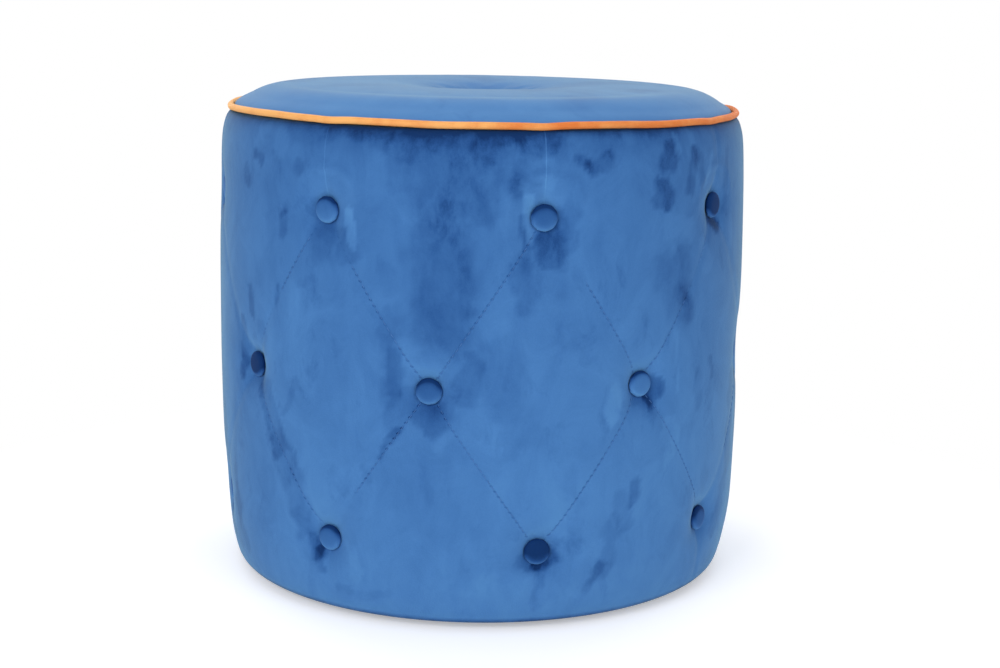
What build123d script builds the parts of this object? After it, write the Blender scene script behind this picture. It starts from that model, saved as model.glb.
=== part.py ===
from build123d import *
import math
import os

os.makedirs("parts", exist_ok=True)

# Round buttoned pouf, millimetres: floor at Z = 0, axis on Z, front at -Y

# Overall size
BODY_DIAMETER = 435.0
OVERALL_HEIGHT = 400.0
STAND_OFF = 4.0

# Clearances
SOFT_GAP = 0.3
WOOD_GAP = 0.2
HOLE_GAP = 0.1

# Velvet covers
FABRIC_THICKNESS = 3.0
SEAM_ALLOWANCE = 12.0
HEM_WIDTH = 62.0
DUST_COVER_THICKNESS = 1.0
DUST_COVER_MARGIN = 2.0

# Outline of the padded wall
FOOT_DRAW_IN = 9.7
FOOT_TAPER_HEIGHT = 75.0
FOOT_CORNER_RADIUS = 8.0
TAPER_BLEND_RADIUS = 95.0
SHOULDER_DRAW_IN = 8.8
SHOULDER_RADIUS = 105.0

# Outline of the seat
CROWN_RISE = 18.0
CROWN_EDGE_RADIUS = 55.0
CROWN_EDGE_STEP = 0.4
DIMPLE_RADIUS = 68.0
DIMPLE_DEPTH = 14.0
DIMPLE_RIM_RADIUS = 50.0

# Piping in the seat seam
PIPING_DIAMETER = 6.0
PIPING_SETBACK = 10.3
PIPING_FABRIC = 0.8
PIPING_FLANGE = 1.0

# Deep buttoning of the wall
BUTTONS_PER_ROW = 8
BUTTON_PHASE = 12.3
UPPER_ROW_BELOW_BOARD = 13.5
LOWER_ROW_ABOVE_BOARD = 43.0
MIDDLE_ROW_SHIFT = -3.0
TUFT_RADIUS = 30.0
TUFT_DEPTH = 10.0
CHANNEL_RADIUS = 6.0
CHANNEL_DEPTH = 1.5
CHANNEL_START = 21.0

# Covered buttons, their twine and the washers behind them
BUTTON_DIAMETER = 20.0
BUTTON_HEIGHT = 7.0
BUTTON_BACK_RISE = 1.9
BUTTON_EDGE = 1.6
BUTTON_EDGE_ROUND = 0.6
SOCKET_DEPTH = 2.5
TWINE_DIAMETER = 2.0
TWINE_HOLE_DIAMETER = 5.0
KNOT_DIAMETER = 6.5
WASHER_DIAMETER = 16.0
WASHER_THICKNESS = 1.5

# Timber frame inside
WALL_PADDING = 31.5
DRUM_WALL_THICKNESS = 4.0
BASE_BOARD_THICKNESS = 12.0
TOP_BOARD_THICKNESS = 12.0
SEAT_FOAM_THICKNESS = 35.0
UPRIGHT_COUNT = 4
UPRIGHT_WIDTH = 34.0
UPRIGHT_DEPTH = 24.0

# Screws, brads and staples
FRAME_SCREW_DIAMETER = 4.0
FRAME_SCREW_HEAD = 8.0
FRAME_SCREW_LENGTH = 45.0
BRAD_DIAMETER = 1.6
BRAD_LENGTH = 18.0
BRADS_PER_BOARD = 12
BRADS_PER_UPRIGHT = 3
STAPLE_COUNT = 24
STAPLE_CROWN = 10.0
STAPLE_WIRE_WIDTH = 1.2
STAPLE_WIRE_HEIGHT = 0.8
STAPLE_LEG = 9.0
STAPLE_INSET = 8.0

# Glides
GLIDE_COUNT = 4
GLIDE_DIAMETER = 22.0
GLIDE_INSET = 27.0
GLIDE_CHAMFER = 1.0
GLIDE_SCREW_DIAMETER = 3.5
GLIDE_SCREW_HEAD = 7.0
GLIDE_SCREW_LENGTH = 14.0
GLIDE_HEAD_SINK = 1.2

# Radii that follow from the sizes above
belly = BODY_DIAMETER / 2
drum_outer = belly - WALL_PADDING
drum_inner = drum_outer - DRUM_WALL_THICKNESS
board_radius = drum_inner - WOOD_GAP
piping_tube = PIPING_DIAMETER / 2
piping_radius = belly - PIPING_SETBACK
seat_edge = piping_radius - piping_tube - SOFT_GAP
allowance_inner = seat_edge - SEAM_ALLOWANCE
hem_inner = belly - FOOT_DRAW_IN - HEM_WIDTH
dust_cover_radius = board_radius - DUST_COVER_MARGIN
staple_radius = board_radius - STAPLE_INSET
glide_radius = board_radius - GLIDE_INSET
twine_gap = TWINE_DIAMETER / 2 + SOFT_GAP

# Heights that follow from the sizes above
hem_bottom = STAND_OFF + DUST_COVER_THICKNESS
base_bottom = hem_bottom + FABRIC_THICKNESS
base_top = base_bottom + BASE_BOARD_THICKNESS
piping_z = OVERALL_HEIGHT - CROWN_RISE
wall_top = piping_z - piping_tube - SOFT_GAP
flange_top = wall_top + PIPING_FLANGE
foam_top = wall_top - FABRIC_THICKNESS - SOFT_GAP
top_board_top = foam_top - SEAT_FOAM_THICKNESS
top_board_bottom = top_board_top - TOP_BOARD_THICKNESS
upper_row = top_board_bottom - UPPER_ROW_BELOW_BOARD
lower_row = base_top + LOWER_ROW_ABOVE_BOARD
middle_row = (upper_row + lower_row) / 2 + MIDDLE_ROW_SHIFT
dimple_bottom = OVERALL_HEIGHT - DIMPLE_DEPTH

# Wall outline: a tapered foot, a straight belly and a shoulder arc
taper_top = hem_bottom + FOOT_TAPER_HEIGHT
taper_slope = FOOT_DRAW_IN / FOOT_TAPER_HEIGHT
taper_angle = math.atan(taper_slope)
shoulder_drop = math.sqrt(2 * SHOULDER_RADIUS * SHOULDER_DRAW_IN - SHOULDER_DRAW_IN**2)
shoulder_start = wall_top - shoulder_drop
shoulder_centre = belly - SHOULDER_RADIUS


def wall_radius(z):
    """Radius of the velvet at height z, on the wall without its tufts."""
    if z < taper_top:
        return belly - (taper_top - z) * taper_slope
    if z > shoulder_start:
        rise = z - shoulder_start
        return shoulder_centre + math.sqrt(SHOULDER_RADIUS**2 - rise**2)
    return belly


def radial(angle, radius, z):
    """Point at an angle from the front, turning towards +X."""
    turn = math.radians(angle)
    return Vector(radius * math.sin(turn), -radius * math.cos(turn), z)


def radial_plane(angle, radius, z):
    """Plane on the wall whose normal points straight out from the axis."""
    return Plane(origin=radial(angle, radius, z), x_dir=(0, 0, 1), z_dir=radial(angle, 1, 0))


def peg(plane, diameter, length):
    """Cylinder that stands on a plane."""
    return plane * Cylinder(diameter / 2, length, align=(Align.CENTER, Align.CENTER, Align.MIN))


def ring(inner, outer, bottom, top):
    """Flat ring round the axis, or a disc where the inner radius is 0."""
    face = Circle(outer) - Circle(inner) if inner > 0 else Circle(outer)
    return extrude(Plane.XY.offset(bottom) * face, amount=top - bottom)


def arc(centre_r, centre_z, radius, start, end):
    """Arc of an outline about a centre, angles in degrees."""
    points = []
    for turn in (start, (start + end) / 2, end):
        across = centre_r + radius * math.cos(math.radians(turn))
        points.append((across, centre_z + radius * math.sin(math.radians(turn))))
    return ThreePointArc(*points)


def spin(*edges):
    """Solid turned round the axis from an outline of radius and height."""
    return revolve(Plane.XZ * make_face(Curve() + list(edges)), axis=Axis.Z)


def save(node, *solids):
    """Write one node, a single solid or a group of separate ones."""
    shape = solids[0] if len(solids) == 1 else Compound(list(solids))
    export_step(shape, f"parts/{node}.step")


# Button positions: three rows, the middle one half a step round
step = 360.0 / BUTTONS_PER_ROW
tuft_sphere = (TUFT_RADIUS**2 + TUFT_DEPTH**2) / (2 * TUFT_DEPTH)
rows = {"upper": (upper_row, 0.0), "middle": (middle_row, 0.5), "lower": (lower_row, 0.0)}
buttons = {}
for row, (height, shift) in rows.items():
    buttons[row] = [(BUTTON_PHASE + (i + shift) * step, height) for i in range(BUTTONS_PER_ROW)]
all_buttons = [spot for row in rows for spot in buttons[row]]


def wall_body(inset):
    """Solid inside the wall outline, the outline drawn in by an inset."""
    bottom = hem_bottom + inset
    top = wall_top - inset
    side = belly - inset
    taper_side = belly - inset / math.cos(taper_angle)
    foot = taper_side - (taper_top - bottom) * taper_slope
    knee = taper_top - (taper_side - side) / taper_slope
    lower = FilletPolyline(
        (0, bottom),
        (foot, bottom),
        (side, knee),
        (side, shoulder_start),
        radius=(FOOT_CORNER_RADIUS - inset, TAPER_BLEND_RADIUS - inset),
    )
    turned = math.degrees(math.asin((top - shoulder_start) / (SHOULDER_RADIUS - inset)))
    shoulder = arc(shoulder_centre, shoulder_start, SHOULDER_RADIUS - inset, 0, turned)
    across = Line(shoulder @ 1, (0, top))
    return spin(lower, shoulder, across, Line((0, top), (0, bottom)))


def tuft_cutters(inset):
    """Spheres that press a hollow round each button."""
    cutters = []
    for angle, z in all_buttons:
        reach = wall_radius(z) - TUFT_DEPTH + tuft_sphere
        cutters.append(Pos(radial(angle, reach, z)) * Sphere(tuft_sphere + inset))
    return cutters


def bent_tube(points, tube):
    """Round bar bent along the arc through three points."""
    path = Edge.make_three_point_arc(*points)
    start = Plane(origin=path @ 0, z_dir=path % 0) * Circle(tube)
    turned = math.degrees(path.length / path.radius)
    return revolve(start, axis=Axis(path.arc_center, path.normal()), revolution_arc=turned)


def channel_cutters():
    """Bars that press the sewn channels from button to button and to the seams."""
    lift = CHANNEL_RADIUS - CHANNEL_DEPTH
    cutters = []
    for angle, z in buttons["middle"]:
        for side in (-0.5, 0.5):
            for other in (upper_row, lower_row):
                run = math.hypot(belly * math.radians(side * step), other - z)
                points = []
                for t in (CHANNEL_START / run, 0.5, 1 - CHANNEL_START / run):
                    height = z + (other - z) * t
                    points.append(radial(angle + side * step * t, wall_radius(height) + lift, height))
                cutters.append(bent_tube(points, CHANNEL_RADIUS))
    for angle, z in buttons["upper"]:
        start = z + CHANNEL_START
        heights = (start, (start + wall_top) / 2, wall_top)
        points = [radial(angle, wall_radius(h) + lift, h) for h in heights]
        cutters.append(bent_tube(points, CHANNEL_RADIUS))
    for angle, z in buttons["lower"]:
        height = z - CHANNEL_START
        start = radial(angle, wall_radius(height) + lift, height)
        down = radial(angle, wall_radius(hem_bottom) + lift, hem_bottom) - start
        cutters.append(peg(Plane(origin=start, z_dir=down), 2 * CHANNEL_RADIUS, down.length))
    return cutters


def tufted_body(inset):
    """Padded wall outline with the hollows round its buttons pressed in."""
    return wall_body(inset) - tuft_cutters(inset)


# Holes that the twine runs through
needle_holes = [peg(radial_plane(a, drum_inner, z), 2 * twine_gap, WALL_PADDING) for a, z in all_buttons]
drum_start = drum_inner - DRUM_WALL_THICKNESS
drum_holes = [peg(radial_plane(a, drum_start, z), TWINE_HOLE_DIAMETER, 3 * DRUM_WALL_THICKNESS) for a, z in all_buttons]
seat_plane = Plane.XY.offset(top_board_bottom)
seat_needle_hole = peg(seat_plane, 2 * twine_gap, OVERALL_HEIGHT - top_board_bottom)
seat_board_hole = peg(seat_plane, TWINE_HOLE_DIAMETER, TOP_BOARD_THICKNESS)

# Angles of the uprights, between two rows of buttons, and of the glides
upright_angles = []
for k in range(UPRIGHT_COUNT):
    upright_angles.append(BUTTON_PHASE + (round(k * BUTTONS_PER_ROW / UPRIGHT_COUNT) + 0.25) * step)
glide_angles = [upright_angles[0] + (k + 0.5) * 360 / GLIDE_COUNT for k in range(GLIDE_COUNT)]
upright_face = math.sqrt(board_radius**2 - (UPRIGHT_WIDTH / 2) ** 2)
upright_radius = upright_face - UPRIGHT_DEPTH / 2


def wood_screw(plane, diameter, head, length, gap):
    """Countersunk screw with its head on a plane, driven along the normal."""
    sink = (head - diameter) / 2
    shank = peg(plane, diameter + 2 * gap, length + gap)
    cone = Cone(head / 2 + gap, diameter / 2 + gap, sink, align=(Align.CENTER, Align.CENTER, Align.MIN))
    return shank + plane * cone


def frame_screws(gap):
    """Screws through both boards into the ends of the uprights."""
    base = []
    top = []
    for angle in upright_angles:
        below = Plane(origin=radial(angle, upright_radius, base_bottom), z_dir=(0, 0, 1))
        above = Plane(origin=radial(angle, upright_radius, top_board_top), z_dir=(0, 0, -1))
        base.append(wood_screw(below, FRAME_SCREW_DIAMETER, FRAME_SCREW_HEAD, FRAME_SCREW_LENGTH, gap))
        top.append(wood_screw(above, FRAME_SCREW_DIAMETER, FRAME_SCREW_HEAD, FRAME_SCREW_LENGTH, gap))
    return base, top


def wall_brads(gap):
    """Brads that pin the drum wall to both boards and to the uprights."""
    spots = []
    for k in range(BRADS_PER_BOARD):
        angle = upright_angles[0] + (k + 0.5) * 360 / BRADS_PER_BOARD
        spots.append((angle, (base_bottom + base_top) / 2))
        spots.append((angle, (top_board_bottom + top_board_top) / 2))
    for angle in upright_angles:
        for k in range(BRADS_PER_UPRIGHT):
            run = top_board_bottom - base_top
            spots.append((angle, base_top + (k + 0.5) * run / BRADS_PER_UPRIGHT))
    tip = drum_outer - WOOD_GAP - BRAD_LENGTH
    reach = BRAD_LENGTH + gap * WALL_PADDING
    return [peg(radial_plane(a, tip - gap, z), BRAD_DIAMETER + 2 * gap, reach) for a, z in spots]


def staple_legs(gap):
    """Legs of the staples that hold the dust cover and the hem."""
    legs = []
    for k in range(STAPLE_COUNT):
        angle = glide_angles[0] + (k + 0.5) * 360 / STAPLE_COUNT
        for side in (-0.5, 0.5):
            sideways = side * (STAPLE_CROWN - STAPLE_WIRE_WIDTH)
            leg = Box(
                STAPLE_WIRE_WIDTH + 2 * gap,
                STAPLE_WIRE_WIDTH + 2 * gap,
                STAPLE_LEG + gap,
                align=(Align.CENTER, Align.CENTER, Align.MIN),
            )
            legs.append(Rot(0, 0, angle) * Pos(sideways, -staple_radius, STAND_OFF) * leg)
    return legs


def glide_screws(gap):
    """Screws up through the glides into the base board."""
    screws = []
    for angle in glide_angles:
        head = Plane(origin=radial(angle, glide_radius, GLIDE_HEAD_SINK), z_dir=(0, 0, 1))
        screws.append(wood_screw(head, GLIDE_SCREW_DIAMETER, GLIDE_SCREW_HEAD, GLIDE_SCREW_LENGTH, gap))
    return screws


base_screw_holes, top_screw_holes = frame_screws(HOLE_GAP)
brad_holes = wall_brads(HOLE_GAP)
staple_holes = staple_legs(HOLE_GAP)
glide_screw_holes = glide_screws(HOLE_GAP)
underside_holes = staple_holes + glide_screw_holes

# Wall cover: velvet tube, buttoned, turned in at the seam and under the base
outer_body = tufted_body(0.0) - channel_cutters()
inner_body = tufted_body(FABRIC_THICKNESS)
top_opening = ring(0, allowance_inner, foam_top, wall_top + SOFT_GAP)
bottom_opening = ring(0, hem_inner, STAND_OFF, base_top)
wall_cover = outer_body - inner_body - top_opening - bottom_opening
wall_cover = wall_cover - needle_holes - underside_holes
save("wall_cover", wall_cover)

# Wall foam: ring between the drum and the cover, up to the seat seam
foam_core = ring(0, drum_outer + SOFT_GAP, hem_bottom, wall_top)
wall_foam = tufted_body(FABRIC_THICKNESS + SOFT_GAP) - foam_core - needle_holes
save("wall_foam", wall_foam)

# Timber frame: two boards, the drum wall bent round them and the uprights
drum_wall = ring(drum_inner, drum_outer, base_bottom, top_board_top) - drum_holes - brad_holes
save("drum_wall", drum_wall)
base_board = ring(0, board_radius, base_bottom, base_top)
base_board = base_board - base_screw_holes - brad_holes - underside_holes
save("base_board", base_board)
top_board = ring(0, board_radius, top_board_bottom, top_board_top)
top_board = top_board - top_screw_holes - brad_holes - seat_board_hole
save("top_board", top_board)
for number, angle in enumerate(upright_angles, start=1):
    batten = Box(
        UPRIGHT_WIDTH,
        UPRIGHT_DEPTH,
        top_board_bottom - base_top,
        align=(Align.CENTER, Align.CENTER, Align.MIN),
    )
    upright = Rot(0, 0, angle) * Pos(0, -upright_radius, base_top) * batten
    upright = upright - base_screw_holes - top_screw_holes - brad_holes
    save(f"upright_{number}", upright)
base_screws, top_screws = frame_screws(0.0)
save("base_screws", *base_screws)
save("top_screws", *top_screws)
save("wall_brads", *wall_brads(0.0))


def seat_body(inset, bottom):
    """Solid under the seat outline: edge roll, flat crown and central dimple."""
    roll_z = OVERALL_HEIGHT - CROWN_EDGE_RADIUS
    roll_end = piping_z + CROWN_EDGE_STEP
    roll_r = seat_edge - math.sqrt(CROWN_EDGE_RADIUS**2 - (roll_end - roll_z) ** 2)
    roll = CROWN_EDGE_RADIUS - inset
    lean = math.degrees(math.acos((seat_edge - inset - roll_r) / roll))
    half = math.atan(DIMPLE_DEPTH / DIMPLE_RADIUS)
    bowl = DIMPLE_RADIUS / math.sin(2 * half) - DIMPLE_RIM_RADIUS
    dip = math.degrees(2 * half)
    edge_arc = arc(roll_r, roll_z, roll, lean, 90)
    rim_arc = arc(DIMPLE_RADIUS, OVERALL_HEIGHT - DIMPLE_RIM_RADIUS, DIMPLE_RIM_RADIUS - inset, 90, 90 + dip)
    bowl_arc = arc(0, dimple_bottom + bowl, bowl + inset, dip - 90, -90)
    return spin(
        Line((0, bottom), (seat_edge - inset, bottom)),
        Line((seat_edge - inset, bottom), edge_arc @ 0),
        edge_arc,
        Line(edge_arc @ 1, rim_arc @ 0),
        rim_arc,
        bowl_arc,
        Line(bowl_arc @ 1, (0, bottom)),
    )


# Seat: foam disc on the top board, crowned wadding and the velvet panel
seat_foam = ring(0, drum_outer, top_board_top, foam_top) - seat_needle_hole
save("seat_foam", seat_foam)
allowance_top = flange_top + FABRIC_THICKNESS
seat_cover = seat_body(0.0, flange_top) - seat_body(FABRIC_THICKNESS, allowance_top)
seat_cover = seat_cover - ring(0, allowance_inner, wall_top, allowance_top) - seat_needle_hole
save("seat_cover", seat_cover)
wadding_edge = allowance_inner - SOFT_GAP
wadding_step = ring(wadding_edge, belly, foam_top, allowance_top + SOFT_GAP)
seat_wadding = seat_body(FABRIC_THICKNESS + SOFT_GAP, foam_top + SOFT_GAP) - wadding_step - seat_needle_hole
save("seat_wadding", seat_wadding)

# Piping: a fabric tube with its sewing flange, and the cord inside it
cord_channel = piping_tube - PIPING_FABRIC
tube_plane = Pos(0, 0, piping_z)
flange = ring(allowance_inner, piping_radius, wall_top, flange_top)
piping_cover = tube_plane * Torus(piping_radius, piping_tube) + flange
piping_cover = piping_cover - tube_plane * Torus(piping_radius, cord_channel)
save("piping_cover", piping_cover)
save("piping_cord", tube_plane * Torus(piping_radius, cord_channel - SOFT_GAP))

# Covered button, standing on its own origin with its axis on Z
button_rim = BUTTON_DIAMETER / 2
edge_top = BUTTON_BACK_RISE + BUTTON_EDGE
button_side = Line((button_rim, BUTTON_BACK_RISE), (button_rim, edge_top))
dome_mid = (button_rim * 0.55, edge_top + (BUTTON_HEIGHT - edge_top) * 0.72)
back_mid = (button_rim * 0.5, SOFT_GAP + (BUTTON_BACK_RISE - SOFT_GAP) * 0.25)
button = spin(
    ThreePointArc((0, SOFT_GAP), back_mid, button_side @ 0),
    button_side,
    ThreePointArc(button_side @ 1, dome_mid, (0, BUTTON_HEIGHT)),
    Line((0, BUTTON_HEIGHT), (0, SOFT_GAP)),
)
button = fillet(button.edges().filter_by(GeomType.CIRCLE).sort_by(SortBy.LENGTH)[-2:], BUTTON_EDGE_ROUND)
button = button - peg(Plane.XY, TWINE_DIAMETER + 2 * HOLE_GAP, SOCKET_DEPTH)

# Washer behind the drum wall, flat side against the curve
washer_hole = TWINE_DIAMETER + 2 * SOFT_GAP
washer_seat = math.sqrt(drum_inner**2 - (WASHER_DIAMETER / 2) ** 2) - WOOD_GAP
washer_face = washer_seat - WASHER_THICKNESS
knot = KNOT_DIAMETER / 2


def washer(plane):
    """Washer standing on a plane, with the twine hole through it."""
    return peg(plane, WASHER_DIAMETER, WASHER_THICKNESS) - peg(plane, washer_hole, WASHER_THICKNESS)


def twine(plane, length):
    """Twine that stands on a plane, with a knot below the plane."""
    knot_ball = plane * Pos(0, 0, -knot) * Sphere(knot)
    tail = plane.offset(-knot)
    return knot_ball + peg(tail, TWINE_DIAMETER, length + knot)


# Buttons of the wall, with their twine and washers
for row, spots in buttons.items():
    strings = []
    washers = []
    for number, (angle, z) in enumerate(spots, start=1):
        tuft_floor = wall_radius(z) - TUFT_DEPTH
        save(f"button_{row}_{number}", radial_plane(angle, tuft_floor, z) * button)
        behind = radial_plane(angle, washer_face - SOFT_GAP, z)
        reach = tuft_floor + SOCKET_DEPTH - HOLE_GAP - washer_face + SOFT_GAP
        strings.append(twine(behind, reach))
        washers.append(washer(radial_plane(angle, washer_face, z)))
    save(f"twine_{row}_row", *strings)
    save(f"washers_{row}_row", *washers)

# Seat button in the dimple, tied down to a washer under the top board
save("seat_button", Pos(0, 0, dimple_bottom) * button)
seat_washer_bottom = top_board_bottom - WASHER_THICKNESS
save("seat_washer", washer(Plane.XY.offset(seat_washer_bottom)))
seat_reach = dimple_bottom + SOCKET_DEPTH - HOLE_GAP - seat_washer_bottom + SOFT_GAP
save("seat_twine", twine(Plane.XY.offset(seat_washer_bottom - SOFT_GAP), seat_reach))

# Underside: dust cover, staples and glides
dust_cover = ring(0, dust_cover_radius, STAND_OFF, hem_bottom) - underside_holes
save("dust_cover", dust_cover)
legs = staple_legs(0.0)
staples = []
for k in range(STAPLE_COUNT):
    angle = glide_angles[0] + (k + 0.5) * 360 / STAPLE_COUNT
    crown = Box(
        STAPLE_CROWN,
        STAPLE_WIRE_WIDTH,
        STAPLE_WIRE_HEIGHT,
        align=(Align.CENTER, Align.CENTER, Align.MAX),
    )
    crown = Rot(0, 0, angle) * Pos(0, -staple_radius, STAND_OFF) * crown
    staples.append(crown + legs[2 * k] + legs[2 * k + 1])
save("base_staples", *staples)
for number, angle in enumerate(glide_angles, start=1):
    foot = Cone(
        GLIDE_DIAMETER / 2 - GLIDE_CHAMFER,
        GLIDE_DIAMETER / 2,
        STAND_OFF,
        align=(Align.CENTER, Align.CENTER, Align.MIN),
    )
    spot = Plane(origin=radial(angle, glide_radius, 0), z_dir=(0, 0, 1))
    head_well = peg(spot, GLIDE_SCREW_HEAD + 2 * HOLE_GAP, GLIDE_HEAD_SINK)
    glide = spot * foot - head_well - glide_screw_holes[number - 1]
    save(f"glide_{number}", glide)
save("glide_screws", *glide_screws(0.0))
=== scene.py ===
# %% [markdown]
# # A buttoned velvet pouf
# The pouf is a timber drum in a padded velvet cover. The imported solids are
# loaded first, as a fixed frame in metres with the floor at Z = 0 and the front
# at -Y. Every soft piece is then made again in its place, because a sewn and
# buttoned cover has creases that a plain solid can't show.

# %% The frame
import math

import bpy
import numpy as np
from mathutils import Matrix, Vector
from mathutils.bvhtree import BVHTree


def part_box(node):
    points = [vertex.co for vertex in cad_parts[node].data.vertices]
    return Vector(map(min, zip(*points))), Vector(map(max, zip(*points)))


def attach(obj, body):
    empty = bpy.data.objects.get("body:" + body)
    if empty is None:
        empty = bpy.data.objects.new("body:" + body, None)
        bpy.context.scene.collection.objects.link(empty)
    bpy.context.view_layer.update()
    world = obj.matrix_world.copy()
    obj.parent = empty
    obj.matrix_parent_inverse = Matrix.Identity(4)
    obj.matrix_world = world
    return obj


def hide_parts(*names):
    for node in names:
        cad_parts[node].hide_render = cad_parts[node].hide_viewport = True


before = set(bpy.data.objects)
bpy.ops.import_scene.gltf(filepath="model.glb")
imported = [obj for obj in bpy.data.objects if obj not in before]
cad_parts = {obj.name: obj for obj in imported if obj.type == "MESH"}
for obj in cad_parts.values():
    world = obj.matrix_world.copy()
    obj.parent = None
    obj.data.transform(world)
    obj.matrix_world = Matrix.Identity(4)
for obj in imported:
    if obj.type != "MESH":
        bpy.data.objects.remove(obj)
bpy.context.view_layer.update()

MM = 0.001

# %% [markdown]
# ## Where the buttons are
# Each covered button has a node of its own, so its place is read from the node's
# box and not typed in again: the middle of the box gives its angle round the drum
# and its height. Angles are counted from the front, turning towards +X.

# %% Button places
ROWS = ("upper", "middle", "lower")
PER_ROW = 8
STEP = 360.0 / PER_ROW


def middle_of(node):
    """Middle of a node's box, in metres."""
    return [(low + high) / 2 for low, high in zip(*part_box(node))]


def turn_and_height(node):
    """Angle in degrees and height in mm of a node's middle."""
    x, y, z = middle_of(node)
    return math.degrees(math.atan2(x, -y)), z / MM


button_nodes = {row: [f"button_{row}_{n + 1}" for n in range(PER_ROW)] for row in ROWS}
button_spots = {row: [turn_and_height(n) for n in button_nodes[row]] for row in ROWS}
row_height = {row: float(np.mean([z for _, z in button_spots[row]])) for row in ROWS}
FIRST_TURN = button_spots["upper"][0][0]
print("rows at", {row: round(z, 1) for row, z in row_height.items()})
print("first button at", round(FIRST_TURN, 2), "degrees")

# %% [markdown]
# ## The outline of the padded wall
# A cylinder with a bevel would be quick, but a padded wall is never that plain:
# the foot is pulled in under the base, the belly swells and the shoulder is drawn
# in to the seam. A few points give that outline as radius and height, and a smooth
# curve through them gives the rows of the mesh.

# %% Wall outline
WALL_OUTLINE = [
    (146.0, 6.4), (170.0, 6.2), (188.0, 5.6), (197.0, 4.4), (202.2, 5.4), (205.4, 9.4), (207.4, 15.4),
    (209.8, 25.0), (213.4, 45.0), (215.3, 65.0), (216.4, 106.0), (217.3, 160.0), (217.5, 195.0),
    (217.1, 258.0), (216.2, 309.0), (215.2, 338.0), (213.9, 358.0), (211.7, 368.6), (208.8, 374.9),
    (205.8, 377.0), (201.0, 377.2), (195.0, 377.2),
]
GRID = 5.7
BELLY = 217.0


def smooth_rows(points, spacing):
    """Even rows along a smooth curve through the points of an outline."""
    p = np.array(points, float)
    ends = np.vstack([2 * p[0] - p[1], p, 2 * p[-1] - p[-2]])
    fine = []
    for a, b, c, d in zip(ends, ends[1:], ends[2:], ends[3:]):
        for t in np.linspace(0, 1, 40, endpoint=False):
            fine.append(0.5 * (2 * b + (c - a) * t + (2 * a - 5 * b + 4 * c - d) * t**2
                               + (3 * b - a - 3 * c + d) * t**3))
    fine = np.array(fine + [p[-1]])
    run = np.concatenate([[0], np.cumsum(np.linalg.norm(np.diff(fine, axis=0), axis=1))])
    marks = np.linspace(0, run[-1], int(round(run[-1] / spacing)) + 1)
    return np.column_stack([np.interp(marks, run, fine[:, k]) for k in (0, 1)])


def even_turns(count):
    """Angles in degrees that share the full turn evenly."""
    return np.arange(count) * 360.0 / count


wall_rows = smooth_rows(WALL_OUTLINE, GRID)
# A multiple of the buttons in a row, so that the grid meets every button alike
WALL_COLUMNS = int(round(2 * math.pi * BELLY / GRID / PER_ROW)) * PER_ROW
print("wall grid", len(wall_rows), "rows by", WALL_COLUMNS, "columns")

# %% [markdown]
# ## Pulling the buttons in
# On the real pouf, twine pulls each button into the foam, and the velvet slopes
# down to it like a funnel. It could be sculpted by hand, but a rule gives the same
# shape on every run: the wall starts with a funnel at each button, and a cloth
# simulation with a little pressure from inside then lets the velvet find its own
# shape between the buttons, the seam and the hem.

# %% Places on the wall
SEAM_RADIUS = 203.0


def wrap(turn):
    """Angle difference in degrees, between -180 and 180."""
    return (turn + 180.0) % 360.0 - 180.0


def unrolled(turn, z, spot):
    """Steps in mm round the wall and up it, from a spot to an angle and a height."""
    return np.radians(wrap(turn - spot[0])) * BELLY, z - spot[1]


def around(turn, r, z):
    """Points at an angle in degrees, a radius and a height."""
    a = np.radians(turn)
    return np.stack([r * np.sin(a), -r * np.cos(a), z], axis=-1)


def turns_of(points):
    """Angle of each point in degrees, counted from the front."""
    return np.degrees(np.arctan2(points[..., 0], -points[..., 1]))


def reach_of(points):
    """Distance of each point from the pouf's axis."""
    return np.hypot(points[..., 0], points[..., 1])


def grid_of(rows, columns):
    """Angle, radius and height of each point of a turned grid."""
    turn, r = np.meshgrid(even_turns(columns), rows[:, 0])
    return turn, r, np.repeat(rows[:, 1:], columns, axis=1)


wall_grid = grid_of(wall_rows, WALL_COLUMNS)
print("wall points", wall_grid[0].size)

# %% Funnels at the buttons
BUTTON_RADIUS = 10.0
BUTTON_MIDDLE = 3.2
FUNNEL_LIP = 3.0
FUNNEL_REACH = 11.5
# The button at the left edge hides behind a fuller lip
SNUG_REACH = 6.0
SNUG_SPOT = button_spots["upper"][6]

tufts = []
for row in ROWS:
    reach = [math.hypot(*middle_of(n)[:2]) / MM for n in button_nodes[row]]
    floor = float(np.mean(reach)) - BUTTON_MIDDLE
    tufts += [(turn, z, floor) for turn, z in button_spots[row]]
print("tuft floors at radius", sorted({round(r, 1) for _, _, r in tufts}))


def funnel_pull(turn, r, z):
    """Depth in mm that the buttons pull the velvet in."""
    pull = np.zeros_like(r)
    for tuft in tufts:
        reach = SNUG_REACH if tuft[:2] == SNUG_SPOT else FUNNEL_REACH
        away = np.hypot(*unrolled(turn, z, tuft))
        fall = np.exp(-np.maximum(away - BUTTON_RADIUS + FUNNEL_LIP, 0.0) / reach)
        pull = np.maximum(pull, fall * np.maximum(r - tuft[2], 0.0) * (r > SEAM_RADIUS))
    return pull


pull = funnel_pull(*wall_grid)
wall_start = around(wall_grid[0], wall_grid[1] - pull, wall_grid[2])
print("deepest pull", round(float(pull.max()), 2), "mm")


# %% Meshes from grids
def add_object(name, data):
    """Object in the scene for a mesh, a lamp or a camera."""
    obj = bpy.data.objects.new(name, data)
    bpy.context.scene.collection.objects.link(obj)
    return obj


def mesh_of(name, points, faces=(), edges=()):
    """Mesh from points in metres, with its faces or bare edges."""
    mesh = bpy.data.meshes.new(name)
    mesh.from_pydata(np.asarray(points).tolist(), edges, faces)
    return mesh


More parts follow.
